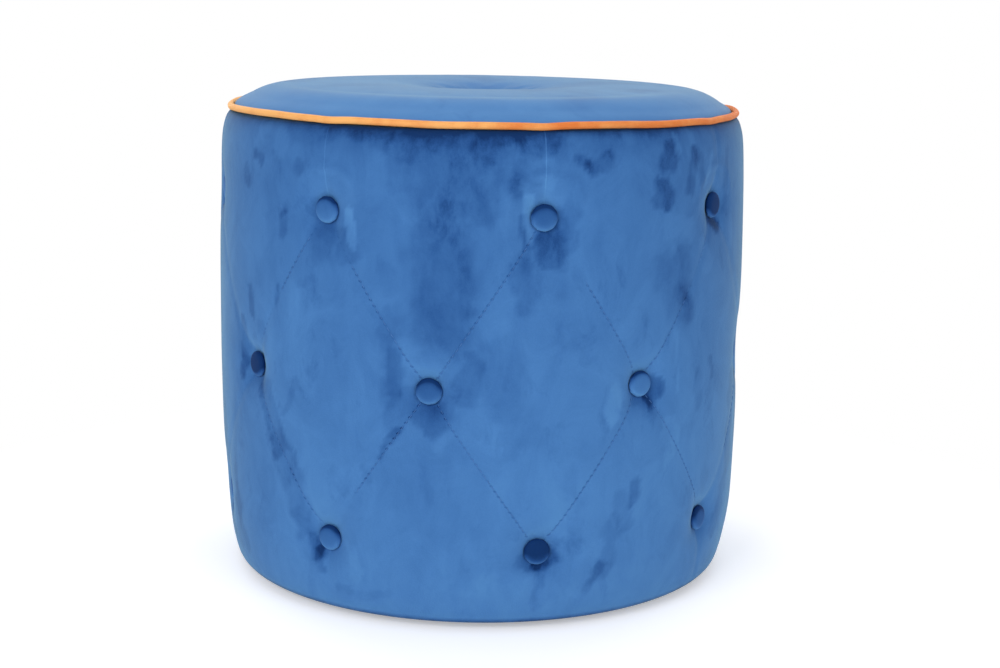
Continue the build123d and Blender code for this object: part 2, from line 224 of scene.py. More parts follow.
def strips(rows, cols, start=0, flip=False):
    """Quads between the rows of a grid that is closed in its columns."""
    faces = []
    for i in range(rows - 1):
        a, b = start + i * cols, start + (i + 1) * cols
        for j in range(cols):
            k = (j + 1) % cols
            faces.append((a + j, b + j, b + k, a + k) if flip else (a + j, a + k, b + k, b + j))
    return faces


def grid_mesh(name, outer, inner=None):
    """Smooth object of a grid; with an inner grid of half its columns, a closed shell."""
    rows, cols = outer.shape[:2]
    verts, faces = outer.reshape(-1, 3), strips(rows, cols)
    if inner is not None:
        base, (n_rows, n_cols) = len(verts), inner.shape[:2]
        verts = np.vstack([verts, inner.reshape(-1, 3)])
        faces += strips(n_rows, n_cols, base, flip=True)
        ends = ((0, base, -1), ((rows - 1) * cols, base + (n_rows - 1) * n_cols, 1))
        for edge, rim, way in ends:
            for j in range(n_cols):
                k = (j + 1) % n_cols
                o0, o1, o2 = edge + 2 * j, edge + 2 * j + 1, edge + (2 * j + 2) % cols
                for corners in ((o0, o1, rim + j), (o1, rim + k, rim + j), (o1, o2, rim + k)):
                    faces.append(corners[::way])
    mesh = mesh_of(name, verts * MM, faces)
    mesh.shade_smooth()
    return add_object(name, mesh)


def refine(points):
    """Grid with a new row and column between each pair, on a smooth curve through them."""
    def between(p, axis, closed):
        if closed:
            back, ahead, far = (np.roll(p, s, axis) for s in (1, -1, -2))
            mid = (9 * (p + ahead) - back - far) / 16
        else:
            pad = np.concatenate([2 * p[:1] - p[1:2], p, 2 * p[-1:] - p[-2:-1]])
            mid = (9 * (pad[1:-2] + pad[2:-1]) - pad[:-3] - pad[3:]) / 16
        count = p.shape[axis] + mid.shape[axis]
        out = np.empty([count if k == axis else n for k, n in enumerate(p.shape)])
        pick = [slice(None)] * 3
        pick[axis] = slice(0, None, 2)
        out[tuple(pick)] = p
        pick[axis] = slice(1, None, 2)
        out[tuple(pick)] = mid
        return out
    return between(between(points, 0, False), 1, True)


# %% The cloth simulation
CLOTH = {
    "quality": 5, "mass": 0.25, "vertex_group_mass": "held", "tension_stiffness": 25,
    "compression_stiffness": 25, "shear_stiffness": 8, "bending_stiffness": 1.5, "use_pressure": True,
}


def coordinates(mesh):
    """Points of a mesh in mm, as rows of three."""
    flat = np.empty(len(mesh.vertices) * 3)
    mesh.vertices.foreach_get("co", flat)
    return flat.reshape(-1, 3) / MM


def inflate(points, held, pressure, frames, cap):
    """Grid points after a short cloth simulation with pressure; held points stay put."""
    obj = grid_mesh("sim", points)
    group = obj.vertex_groups.new(name="held")
    group.add(np.flatnonzero(held.ravel()).tolist(), 1.0, "REPLACE")
    cloth = obj.modifiers.new("cloth", "CLOTH")
    for key, value in CLOTH.items():
        setattr(cloth.settings, key, value)
    cloth.settings.uniform_pressure_force = pressure
    cloth.settings.effector_weights.gravity = 0
    cloth.collision_settings.use_collision = False
    cloth.point_cache.frame_start = 1
    cloth.point_cache.frame_end = frames
    scene = bpy.context.scene
    for f in range(1, frames + 1):
        scene.frame_set(f)
    done = obj.evaluated_get(bpy.context.evaluated_depsgraph_get())
    moved = coordinates(done.data).reshape(points.shape) - points
    length = np.linalg.norm(moved, axis=-1, keepdims=True)
    moved *= np.minimum(1.0, cap / np.maximum(length, 1e-9))
    scene.frame_set(1)
    bpy.data.objects.remove(obj)
    print("cloth moved up to", round(float(length.max()), 2), "mm, kept to", cap)
    return points + moved


# %% The wall as cloth
HEM_HEIGHT = 9.0
SEAM_HEIGHT = 374.5
# Share of each row, in percent, that is taken back to the outline
MOST = 85


def wall_held(turn, r, z):
    """Points that twine, seam or hem hold: the button seats, the seam and the foot."""
    held = (r < SEAM_RADIUS) | (z < HEM_HEIGHT) | (z > SEAM_HEIGHT)
    for tuft in tufts:
        held |= np.hypot(*unrolled(turn, z, tuft)) < BUTTON_RADIUS
    return held


wall_soft = inflate(wall_start, wall_held(*wall_grid), pressure=3.0, frames=20, cap=5.0)
reach = reach_of(wall_soft)
swell = np.percentile(reach, MOST, axis=1) - wall_rows[:, 0]
print("mean swell before it is taken back", round(float(swell.mean()), 2), "mm")
wall_soft[..., :2] *= ((reach - np.maximum(swell, 0)[:, None]) / reach)[..., None]

# %% [markdown]
# ## Sewn channels
# Lines of stitching run from button to button in diamonds, and folded tucks run
# straight from the end rows to the seam and the hem. Each line presses a soft
# channel into the wall, deeper where it leaves a button. Cutting them in would
# break the grid, so its points are pressed in by their distance to the nearest
# line, worked out on the unrolled wall.

# %% Sewn lines and tucks
TUCK_TOP = 378.0
TUCK_FOOT = 4.0
sewn_lines = [((turn, z), (turn + side * STEP, row_height[other])) for turn, z in button_spots["middle"]
              for side in (-0.5, 0.5) for other in ("upper", "lower")]
tuck_lines = [((turn, z), (turn, end)) for row, end in (("upper", TUCK_TOP), ("lower", TUCK_FOOT))
              for turn, z in button_spots[row]]
print(len(sewn_lines), "sewn lines and", len(tuck_lines), "tucks")

# %% Channels
CHANNEL_DEPTH = 0.4
CHANNEL_WIDTH = 3.8
NEAR_BUTTON_DEPTH = 1.4
NEAR_BUTTON_REACH = 12.0
SEAM_FADE = 4.0
BUTTON_LIP = 2.0
BUTTON_FADE = 6.0


def off_stroke(x, y, dx, dy):
    """Share of the way along a stroke from the origin to (dx, dy), and the distance from it."""
    along = np.clip((x * dx + y * dy) / (dx * dx + dy * dy), 0, 1)
    return along, np.hypot(x - along * dx, y - along * dy)


def channel_depth(turn, z):
    """Depth in mm of the sewn channels at each point of the wall."""
    depth = np.zeros_like(z)
    for line in sewn_lines + tuck_lines:
        start, end = line
        dx, dz = unrolled(*end, start)
        along, away = off_stroke(*unrolled(turn, z, start), dx, dz)
        nearest = np.minimum(along, 1 - along) if line in sewn_lines else along
        past_button = np.maximum(nearest * math.hypot(dx, dz) - BUTTON_RADIUS, 0)
        deep = CHANNEL_DEPTH + NEAR_BUTTON_DEPTH * np.exp(-past_button / NEAR_BUTTON_REACH)
        depth = np.maximum(depth, deep * np.exp(-(away / CHANNEL_WIDTH) ** 2))
    return depth


def pressed(points):
    """How far the channels press each point of a wall grid in, in mm."""
    turn, z = turns_of(points), points[..., 2]
    press = channel_depth(turn, z) * np.clip((reach_of(points) - SEAM_RADIUS) / SEAM_FADE, 0, 1)
    for tuft in tufts:
        away = np.hypot(*unrolled(turn, z, tuft))
        press *= np.clip((away - BUTTON_RADIUS + BUTTON_LIP) / BUTTON_FADE, 0, 1)
    return press


wall_skin = refine(wall_soft)
press = pressed(wall_skin)
wall_skin[..., :2] *= (1 - press / reach_of(wall_skin))[..., None]
print("channels up to", round(float(press.max()), 2), "mm deep")

# %% Velvet on the foam
VELVET_THICKNESS = 2.0
PADDING_GAP = 0.7
RAY_START = 0.3
RAY_REACH = 0.2


def tree_of(obj):
    """Search tree of a mesh object, for casting rays at it."""
    mesh = obj.data
    return BVHTree.FromPolygons([v.co[:] for v in mesh.vertices], [p.vertices[:] for p in mesh.polygons])


def met_inwards(surface, out, z):
    """Where a level ray towards the axis first meets a surface, and the way the surface faces."""
    return surface.ray_cast(out * RAY_START + Vector((0, 0, z * MM)), -out, RAY_REACH)[:2]


def kept_over(points, solid, gap):
    """Wall points pushed out where they would sink into a solid, with how many were pushed."""
    surface, pushed = tree_of(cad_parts[solid]), 0
    for row in points:
        if not HEM_HEIGHT <= row[0, 2] <= SEAM_HEIGHT or math.hypot(*row[0, :2]) < SEAM_RADIUS:
            continue
        for point in row:
            r = math.hypot(*point[:2])
            hit, _ = met_inwards(surface, Vector((point[0] / r, point[1] / r, 0.0)), point[2])
            least = 0.0 if hit is None else math.hypot(hit.x, hit.y) / MM + gap
            if r < least:
                point[:2] *= least / r
                pushed += 1
    return pushed


def inset(points, rows, depth):
    """Grid moved in by a depth in mm, square to the outline of its rows."""
    run = np.gradient(rows, axis=0)
    run /= np.linalg.norm(run, axis=1, keepdims=True)
    turn = turns_of(points)
    return points + around(turn, -run[:, 1:2] * depth, run[:, :1] * depth * np.ones_like(turn))


print("points kept over the foam", kept_over(wall_skin, "wall_foam", PADDING_GAP))
wall_inside = inset(wall_soft, wall_rows, VELVET_THICKNESS + pressed(wall_soft))
wall = grid_mesh("padded_wall", wall_skin, wall_inside)
print("padded wall", len(wall.data.polygons), "faces")

# %% [markdown]
# ## Brush marks
# Velvet remembers every hand that touched it. Noise alone gives an even mottle, so
# the marks are painted as strokes on the unrolled wall, each with two ends, a width
# and a tone, and their edges are frayed by noise. Where the pouf can be seen they
# are listed one by one, and round the back a fixed seed scatters more of the same kind.
# Not all of the marks are brush marks: those under the piping are its painted shadow, most of those beside
# the buttons are painted shade below and beside each funnel and painted light on its lip, and the crease at
# the lower left is a painted fold, dark beside it and light along its edge.

# %% Brush marks and painted shade
# Each mark: turn and height of both ends, half width in mm, tone
# Painted shade among the marks: the group under the piping is its painted shadow, most marks round the
# buttons are painted shade and light of their funnels, and the crease at the lower left is a painted fold.
MARKS = {
    "under the piping": [
        (-27, 384, 16, 384, 22, -0.12), (-60, 384, 60, 384, 20, -0.03), (-32, 372, -19, 372, 7, -0.08),
        (5, 372, 13, 371, 9, -0.15), (-17, 366, -11, 362, 8, -0.09), (18, 372, 30, 371, 6, 0.05),
    ],
    "left edge": [
        (-53, 350, -51, 345, 4, -0.20), (-57, 338, -56, 328, 4, -0.16), (-51, 369, -46, 362, 10, 0.13),
        (-55, 250, -54, 228, 4, -0.20), (-59, 219, -60, 177, 4, -0.22), (-62, 228, -61, 193, 4, -0.10),
        (-51, 216, -51, 200, 6, -0.10), (-45, 252, -45.5, 239, 2, -0.18), (-52, 265, -51, 220, 10, -0.06),
    ],
    "upper left button": [
        (-34, 312, -32, 283, 10, -0.12), (-27.5, 298, -26.5, 283, 7, -0.13), (-27, 315, -26, 294, 4, 0.30),
        (-43.5, 308, -43.5, 292, 3, -0.16), (-39.5, 349, -39, 341, 4, -0.10),
    ],
    "long dark sweep": [
        (-8, 370, -7.5, 235, 22, -0.18), (0, 360, 1, 320, 10, -0.18), (3, 373, 8, 340, 14, -0.13),
        (6, 340, 7, 334, 4, -0.14), (-3, 290, -3, 247, 5, -0.07), (-16, 352, -16, 335, 7, -0.08),
        (-4.5, 352, -4.5, 322, 6, -0.10), (-19, 275, -18, 261, 6, -0.08),
    ],
    "upper middle button": [
        (10, 333, 15, 331, 6, 0.12), (9, 329, 9.5, 301, 3.5, 0.26), (8, 316, 8.5, 295, 3, -0.20),
        (13, 302, 13.5, 288, 9, -0.20), (7, 282, 8, 256, 9, -0.16), (11, 285, 13, 260, 12, -0.08),
        (15.5, 318, 15.5, 277, 4, -0.13), (17, 305, 17.5, 295, 6, -0.12), (16.5, 365, 17.5, 320, 9, -0.10),
        (12.5, 248, 13.5, 222, 20, -0.05),
    ],
    "finger marks at the upper right": [
        (19, 355, 22, 350, 4, -0.16), (22, 350, 25, 358, 5, -0.16), (39.5, 354, 40.5, 350, 8, -0.22),
        (38.5, 329, 40, 325, 8, -0.24), (48, 356, 46.5, 330, 4.5, -0.17), (49, 353, 51.5, 338, 6, -0.16),
        (42, 371, 43.5, 361, 2, 0.14), (46.5, 375, 48.5, 360, 3, 0.08), (54.5, 354, 52.5, 330, 2, 0.12),
        (62, 356, 62.5, 308, 4, -0.11),
    ],
    "upper right button": [
        (55.5, 312, 59, 296, 5, -0.30), (41, 308, 45.5, 300, 9, 0.10), (51.5, 289, 53.5, 272, 6, 0.08),
        (40.5, 275, 44.5, 242, 14, -0.15), (44.5, 293, 46.5, 246, 6, -0.10), (44, 256, 48, 236, 6, -0.10),
    ],
    "crease at the lower left": [
        (-52.5, 180, -51.5, 170, 5, -0.08), (-50.5, 173, -45.5, 133, 9, -0.18),
        (-45.5, 134, -41.5, 106, 10, -0.13), (-41, 106, -39, 75, 10, -0.09), (-40, 85, -38.5, 67, 8, -0.10),
        (-39.5, 72, -37, 48, 8, -0.12), (-47.5, 173, -43.5, 142, 1.5, 0.14),
        (-39.5, 184, -43.5, 156, 3, -0.13), (-49, 105, -52, 63, 10, -0.07), (-38.5, 246, -39, 188, 11, 0.09),
    ],
    "lower left button": [
        (-37, 60, -35.5, 51, 6, -0.26), (-35, 51, -34.5, 38, 3.5, -0.22), (-37, 79, -35.5, 69, 4, -0.10),
        (-26.5, 57, -26, 40, 7, 0.10), (-30.5, 23, -27.5, 23, 3, -0.12), (-25, 20, -19, 25, 3.5, -0.08),
    ],
    "middle button": [
        (-18, 240, -18.5, 178, 8, -0.11), (-17, 215, -17.5, 182, 6, -0.14),
        (-16.5, 154, -18, 146, 3.5, -0.22), (-19, 143, -20, 134, 2, -0.18),
        (-23.5, 123, -22.5, 117, 3.5, -0.12), (-10, 175, -9, 163, 9, -0.18), (-15, 184, -14, 166, 6, -0.13),
        (-5.5, 191, -6, 176, 5, -0.12), (-17.5, 169, -17, 157, 6, -0.11), (-1.5, 204, -3.5, 184, 8, -0.17),
        (3.5, 213, 7.5, 156, 14, -0.12), (-14.5, 216, -10, 206, 9, 0.06), (-8, 217, -6.5, 210, 6, 0.07),
        (-7, 154, -7.5, 145, 6, 0.10),
    ],
    "right of the middle": [
        (38.5, 187, 37, 173, 6, -0.34), (34, 172, 37, 161, 6, -0.14), (29, 183, 28, 168, 7, 0.18),
        (43, 225, 44.5, 177, 1.5, 0.10), (55.5, 196, 57, 180, 3.5, -0.15), (51.5, 185, 51.5, 162, 5, -0.13),
        (42.5, 148, 43.5, 130, 7, 0.10), (56.5, 104, 56.5, 88, 5, -0.08), (50, 75, 55.5, 57, 4, -0.10),
    ],
    "lower middle button": [
        (12.5, 54, 15, 58, 5, -0.30), (16, 69, 16, 56, 3.5, -0.12), (9, 56, 13, 51, 5, -0.18),
        (12, 48, 13, 37, 3.5, -0.14), (20, 79, 19.5, 62, 4, -0.08), (-8, 33, 17, 27, 12, 0.05),
        (0.5, 63, 1.5, 37, 10, 0.06), (18, 124, 18.5, 112, 7, -0.07),
    ],
    "low on the right": [
        (33.5, 109, 33, 96, 4, -0.28), (30.5, 97, 31.5, 82, 7, -0.14), (28.5, 78, 26, 46, 8, -0.17),
        (25.5, 50, 23.5, 33, 4.5, -0.15),
    ],
}
listed_marks_and_shade = [mark for group in MARKS.values() for mark in group]
print(len(listed_marks_and_shade), "marks by eye, in", len(MARKS), "places")

# %% Brush marks and painted shade round the back
BACK_TURNS = (64, 296)
BACK_HEIGHTS = (20, 360)
BACK_FOOT = 12
LAST_LISTED_TURN = 62
BELOW_BUTTON = 14


def scattered_marks(count, seed):
    """Marks for the back: upright and leaning strokes, and a patch of painted shade below each button."""
    pick = np.random.default_rng(seed)
    marks = []
    for _ in range(count):
        t, z = pick.uniform(*BACK_TURNS), pick.uniform(*BACK_HEIGHTS)
        length, tilt = pick.uniform(8, 70), pick.normal(0, 3.5)
        width, tone = pick.uniform(3, 14), pick.uniform(-0.22, 0.10)
        marks.append((t, z, t + tilt, max(z - length, BACK_FOOT), width, tone))
    for t, z, _ in tufts:
        if abs(wrap(t)) > LAST_LISTED_TURN:
            tilt, drop = pick.normal(0, 3), pick.uniform(24, 36)
            width, tone = pick.uniform(6, 12), pick.uniform(-0.26, -0.10)
            marks.append((t, z - BELOW_BUTTON, t + tilt, z - drop, width, tone))
    return marks


back_marks = scattered_marks(60, seed=21)
print(len(back_marks), "marks round the back")

# %% Noise on the unrolled wall
CLOUD_HEIGHT = 420


def eased(share):
    """Share from 0 to 1 with a soft start and a soft end."""
    return share * share * (3 - 2 * share)


def cloud(turn, z, cell, seed):
    """Smooth noise from -1 to 1, closed round the wall, with cells in mm."""
    count = int(round(2 * math.pi * BELLY / cell))
    table = np.random.default_rng(seed).uniform(-1, 1, (int(CLOUD_HEIGHT / cell) + 4, count))
    x, y = (turn % 360.0) / 360.0 * count, np.clip(z / cell, 0, None) + 1
    i, j = np.floor(x).astype(int), np.floor(y).astype(int)
    fx, fy = eased(x - i), eased(y - j)
    low, high = (table[k, i % count] * (1 - fx) + table[k, (i + 1) % count] * fx for k in (j, j + 1))
    return low * (1 - fy) + high * fy


# %% Tone of the wall
# Fray of the marks' edges: cell in mm, depth and seed round the wall, depth and seed up it
FRAYS = [(26, 3.0, 11, 4.0, 13), (11, 3.5, 12, 5.0, 14), (6, 2.8, 15, 4.0, 16)]
FULL_FRAY = 8.0
MARK_SPREAD = 1.15
NARROW = 10
PIPING_SHADE = 380
# Painted light and shade: the wall is painted lighter at the foot and darker towards the top, partly for the
# nap and partly for light from the floor below, and dark at the hem, a painted shadow where it meets the
# floor
FOOT_TONE = 0.10
TOP_SHADE = 0.16
SHADE_FROM = 30.0
SHADE_RUN = 300.0
HEM_SHADE = 0.8
HEM_TOP = 10.0
HEM_FADE = 4.0


def edge_power(height, width):
    """How crisp a mark's edge is: soft in the shade of the piping, crispest on a narrow mark."""
    if height > PIPING_SHADE:
        return 2
    return 8 if width < NARROW else 5


def nap_and_shade_of(points, marks):
    """Tone that the marks, painted shade among them, and a slow gradient of painted light and shade give
    each point of the wall.
    """
    turn, z = turns_of(points), points[..., 2]
    x_fray = sum(depth * cloud(turn, z, cell, seed) for cell, depth, seed, _, _ in FRAYS)
    z_fray = sum(depth * cloud(turn, z, cell, seed) for cell, _, _, depth, seed in FRAYS)
    tone = FOOT_TONE - TOP_SHADE * np.clip((z - SHADE_FROM) / SHADE_RUN, 0, 1)
    tone -= HEM_SHADE * np.clip((HEM_TOP - z) / HEM_FADE, 0, 1)
    for t0, z0, t1, z1, width, strength in marks:
        x, y = unrolled(turn, z, (t0, z0))
        fray = min(1.0, width / FULL_FRAY)
        _, away = off_stroke(x + x_fray * fray, y + z_fray * fray, *unrolled(t1, z1, (t0, z0)))
        tone += strength * np.exp(-(away / (MARK_SPREAD * width)) ** edge_power(z0, width))
    return tone


def paint_points(obj, name, values):
    """Number for each point of a shell's outer grid, kept as an attribute; the inside gets 0."""
    layer = obj.data.attributes.new(name, "FLOAT", "POINT")
    inside = np.zeros(len(layer.data) - values.size)
    layer.data.foreach_set("value", np.concatenate([values.ravel(), inside]))


wall_nap_and_shade = nap_and_shade_of(wall_skin, listed_marks_and_shade + back_marks)
paint_points(wall, "nap_and_shade", wall_nap_and_shade)
print("nap from", round(float(wall_nap_and_shade.min()), 2), "to", round(float(wall_nap_and_shade.max()), 2))

# %% [markdown]
# ## Where the pile hides the thread
# On most lines the pile is brushed over the thread, so that only some stitches
# show. The bands where it is hidden are listed too, and they ride along
# as one more number on every point. Round the back, noise hides it.

# %% Hidden thread
# Each band: turn and height of both ends, half width in mm
HIDDEN = [
    (-43.5, 235, -46.5, 205, 17), (-32.5, 304, -33.5, 296, 12), (-28, 303, -26, 288, 12),
    (-25.5, 92, -28.5, 76, 12), (44.5, 260, 50, 302, 14), (14.5, 304, 20, 275, 10),
    (-53.5, 200, -73, 275, 17), (-53.5, 175, -70, 78, 17), (57, 75, 79, 126, 14),
    (55.5, 300, 80, 202, 14),
]
HIDDEN_BY_NOISE = 75


def hidden_share(turn, z):
    """From 0, thread in sight, to 1, thread under the pile."""
    back = np.clip(0.25 + 0.9 * cloud(turn, z, 60, seed=31), 0, 1)
    share = np.where(np.abs(wrap(turn)) > HIDDEN_BY_NOISE, back, 0)
    for t0, z0, t1, z1, width in HIDDEN:
        _, away = off_stroke(*unrolled(turn, z, (t0, z0)), *unrolled(t1, z1, (t0, z0)))
        share = np.maximum(share, np.exp(-(away / width) ** 4))
    return share


wall_hidden = hidden_share(turns_of(wall_skin), wall_skin[..., 2])
paint_points(wall, "hidden", wall_hidden)
print("thread hidden on", round(float(wall_hidden.mean() * 100)), "% of the wall")

# %% [markdown]
# ## A map that follows the diamonds
# The finish of the velvet has to know where the sewn lines run. A picture could
# be painted for it, but a map is sharper and needs no file: u counts buttons
# round the wall and v counts rows of them, so every slanted line is a diagonal.


# %% Diamond map
def row_share(z):
    """Height as a share: 0 at the lower row of buttons, a half at the middle and 1 at the upper."""
    low, mid, high = (row_height[row] for row in ("lower", "middle", "upper"))
    return np.where(z > mid, 0.5 + 0.5 * (z - mid) / (high - mid), 0.5 - 0.5 * (mid - z) / (mid - low))


def map_diamonds(mesh):
    """UV map in buttons round the wall and rows up it."""
    place = coordinates(mesh)
    corner = np.empty(len(mesh.loops), int)
    mesh.loops.foreach_get("vertex_index", corner)
    first = np.empty(len(mesh.polygons), int)
    mesh.polygons.foreach_get("loop_start", first)
    face = np.repeat(np.arange(len(first)), np.diff(np.append(first, len(corner))))
    turn = turns_of(place)[corner]
    # Every corner is counted from the first one of its face, so no face tears at the back
    turn = turn[first][face] + wrap(turn - turn[first][face])
    both = np.column_stack([(turn - FIRST_TURN) / STEP, row_share(place[corner, 2])])
    mesh.uv_layers.new(name="diamonds").data.foreach_set("uv", both.ravel())


map_diamonds(wall.data)
print("diamond map", wall.data.uv_layers[0].name)

# %% [markdown]
# ## The seat
# The seat is a foam disc with wadding under a round velvet panel. The wadding
# gives it a crown that rolls over at the piping, and one button pulls a wide
# dimple into the middle. It is made like the wall: an outline, a grid and a
# short cloth simulation with the seam and the button seat held.

# %% Seat as cloth
SEAT_OUTLINE = [
    (194.0, 379.3), (200.0, 379.2), (203.2, 379.8), (203.9, 381.8), (202.4, 384.0), (198.6, 386.8),
    (192.2, 389.9), (183.0, 393.8), (170.0, 396.8), (150.0, 398.6), (125.0, 399.2), (100.0, 399.2),
    (82.0, 398.6), (68.0, 397.8), (58.0, 396.9), (50.0, 395.1), (42.0, 392.6), (34.0, 390.0),
    (26.0, 388.3), (18.0, 387.1), (11.0, 386.5), (3.0, 386.3),
]
SEAT_COLUMNS = 160
SEAT_TOP = 399.5
SEAT_SAG = 1.2
SAG_FROM = 60.0
SAG_RUN = 130.0


def worn_down(x):
    """How far in mm the seat and its piping sit lower towards the right, where the foam is more used."""
    return SEAT_SAG * eased(np.clip((x - SAG_FROM) / SAG_RUN, 0, 1))


seat_rows = smooth_rows(SEAT_OUTLINE, GRID)
seat_start = around(*grid_of(seat_rows, SEAT_COLUMNS))
edge_rows = np.arange(len(seat_rows)) < np.argmax(seat_rows[:, 0]) + 2
held_rows = edge_rows | (seat_rows[:, 0] < BUTTON_RADIUS)
seat_held = np.repeat(held_rows[:, None], SEAT_COLUMNS, axis=1)
seat_soft = inflate(seat_start, seat_held, pressure=1.0, frames=12, cap=2.0)
seat_soft[..., 2] -= max(0.0, float(seat_soft[..., 2].max()) - SEAT_TOP)
seat_soft[..., 2] -= worn_down(seat_soft[..., 0])
print("seat top at", round(float(seat_soft[..., 2].max()), 1), "mm")

# %% Seat over its wadding
DROP_START = 0.42
DROP_REACH = 0.06
CROWN_FOOT = 382.0
FOLDS = 9
FOLD_DEPTH = 0.9
FOLD_MIDDLE = 16.0
FOLD_SPREAD = 20.0
FOLD_START = 9.0
FOLD_FADE = 4.0


def kept_above(points, solid, gap):
    """Seat points lifted where they would sink into a solid, with how many were lifted."""
    surface, lifted = tree_of(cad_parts[solid]), 0
    for point in points.reshape(-1, 3):
        start = Vector((point[0] * MM, point[1] * MM, DROP_START))
        hit = surface.ray_cast(start, Vector((0, 0, -1)), DROP_REACH)[0]
        if hit is not None and CROWN_FOOT < point[2] < hit.z / MM + gap:
            point[2] = hit.z / MM + gap
            lifted += 1
    return lifted


def gathers(points):
    """Depth in mm of the soft folds that run out from the seat button."""
    turn, reach = np.radians(turns_of(points)), reach_of(points)
    fold = (0.5 + 0.5 * np.cos(FOLDS * turn + 0.5 * np.sin(2 * turn))) ** 3
    near = np.exp(-((reach - FOLD_MIDDLE) / FOLD_SPREAD) ** 2)
    return FOLD_DEPTH * fold * near * np.clip((reach - FOLD_START) / FOLD_FADE, 0, 1)


seat_skin = refine(seat_soft)
seat_skin[..., 2] -= gathers(seat_skin)
print("points kept above the wadding", kept_above(seat_skin, "seat_wadding", PADDING_GAP))
seat = grid_mesh("seat_cushion", seat_skin, inset(seat_soft, seat_rows, VELVET_THICKNESS))
print("seat cushion", len(seat.data.polygons), "faces")

# %% Tone of the seat
DIMPLE_SHADE = 0.22
DIMPLE_REACH = 50.0
SEAT_SPAN = 170


def seat_nap_and_shade(points, count, seed):
    """Tone that wide, soft strokes of a hand leave on the seat, with painted shade in the dimple."""
    pick = np.random.default_rng(seed)
    x, y = points[..., 0], points[..., 1]
    tone = -DIMPLE_SHADE * np.exp(-(reach_of(points) / DIMPLE_REACH) ** 4)
    x = x + 7.0 * np.sin(y / 17.0) + 3.0 * np.sin(x / 6.0 + y / 9.0)
    y = y + 6.0 * np.sin(x / 21.0) + 3.0 * np.sin(x / 8.0 - y / 7.0)
    for _ in range(count):
        x0, y0 = pick.uniform(-SEAT_SPAN, SEAT_SPAN, 2)
        way, length = pick.uniform(0, math.pi), pick.uniform(20, 110)
        _, away = off_stroke(x - x0, y - y0, length * math.cos(way), length * math.sin(way))
        tone += pick.uniform(-0.16, 0.08) * np.exp(-(away / pick.uniform(8, 24)) ** 3)
    return tone


seat_tone = seat_nap_and_shade(seat_skin, 34, seed=5)
paint_points(seat, "nap_and_shade", seat_tone)
print("seat nap from", round(float(seat_tone.min()), 2), "to", round(float(seat_tone.max()), 2))

# %% [markdown]
# ## Piping
# A strip of orange cloth is wrapped round a cord and sewn into the seam between
# seat and wall. It runs round the seat as a closed ring, and dips a little where
# a tuck of the wall pulls at the seam. Geometry Nodes sweep a round section along
# that ring, so its thickness stays one named input and the cord inside comes from
# the same tree.

# %% Piping ring
PIPING_RADIUS = 207.2
PIPING_HEIGHT = 380.7
PIPING_THICKNESS = 5.3
CORD_THICKNESS = 3.8
TUG_REACH = 13.0
TUG_DROP = 0.8
TUG_PULL = 0.4
DRIFT_PULL = 0.6
# Slow drift of the seam: number of waves round the ring, and their height in mm
DRIFTS = {3: 0.25, 5: 0.22, 9: 0.18, 14: 0.12, 23: 0.08}

ring_turns = even_turns(720)
starts = np.random.default_rng(7).uniform(0, 360, len(DRIFTS))
drift = sum(high * np.sin(np.radians(waves * ring_turns + start))
            for (waves, high), start in zip(DRIFTS.items(), starts))
tug = sum(np.exp(-(np.radians(wrap(ring_turns - t)) * PIPING_RADIUS / TUG_REACH) ** 2)
          for t, _ in button_spots["upper"])
ring_r = PIPING_RADIUS + DRIFT_PULL * drift - TUG_PULL * tug
sag = worn_down(PIPING_RADIUS * np.sin(np.radians(ring_turns)))
ring_points = around(ring_turns, ring_r, PIPING_HEIGHT + drift - TUG_DROP * tug - sag) * MM
ends = np.arange(len(ring_points))
ring = mesh_of("ring", ring_points, edges=np.column_stack([ends, np.roll(ends, -1)]).tolist())
print("piping ring", len(ring_points), "points, dips of", round(float(TUG_DROP * tug.max()), 2), "mm")

# %% [markdown]
# ## Trees of nodes
# Shapes by Geometry Nodes, finishes and the light of the room are all trees of
# nodes. Written out, a node takes a line to add it, one for every setting and one
# for every link, so a small class does all of that in one line.


# %% Nodes in one line each
class Nodes:
    """Nodes of one tree, each added, set and linked in one line."""

    def __init__(self, tree):
        self.tree = tree
        tree.nodes.clear()

    def feed(self, socket, value):
        """Link a socket to another one, or set its plain value."""
        if isinstance(value, bpy.types.NodeSocket):
            self.tree.links.new(value, socket)
        else:
            socket.default_value = value

    def add(self, kind, inputs=None, **settings):
        """New node with its settings made and its inputs fed."""
        made = self.tree.nodes.new(kind)
        for key, value in settings.items():
            setattr(made, key, value)
        for label, value in (inputs or {}).items():
            self.feed(made.inputs[label], value)
        return made

    def math(self, operation, *values, clamp=False):
        """Result of one step of arithmetic on sockets or numbers."""
        inputs = dict(enumerate(values))
        return self.add("ShaderNodeMath", inputs, operation=operation, use_clamp=clamp).outputs[0]

    def parts(self, vector):
        """The three numbers of a vector, by the letter of their axis."""
        return self.add("ShaderNodeSeparateXYZ", {0: vector}).outputs

    def steep(self, value, start, slope):
        """0 up to a start, then rising with a slope to 1."""
        return self.math("MULTIPLY", self.math("SUBTRACT", value, start), slope, clamp=True)

    def sway(self, tone, field, share):
        """Tone moved up and down by a field about its middle."""
        return self.math("MULTIPLY_ADD", self.math("SUBTRACT", field, 0.5), share, tone)

    def in_sight(self):
        """1 for rays from the camera, also mirrored or through glass, and 0 for light itself."""
        path = self.add("ShaderNodeLightPath").outputs
        direct = self.math("MAXIMUM", path["Is Camera Ray"], path["Is Glossy Ray"])
        return self.math("MAXIMUM", direct, path["Is Transmission Ray"])


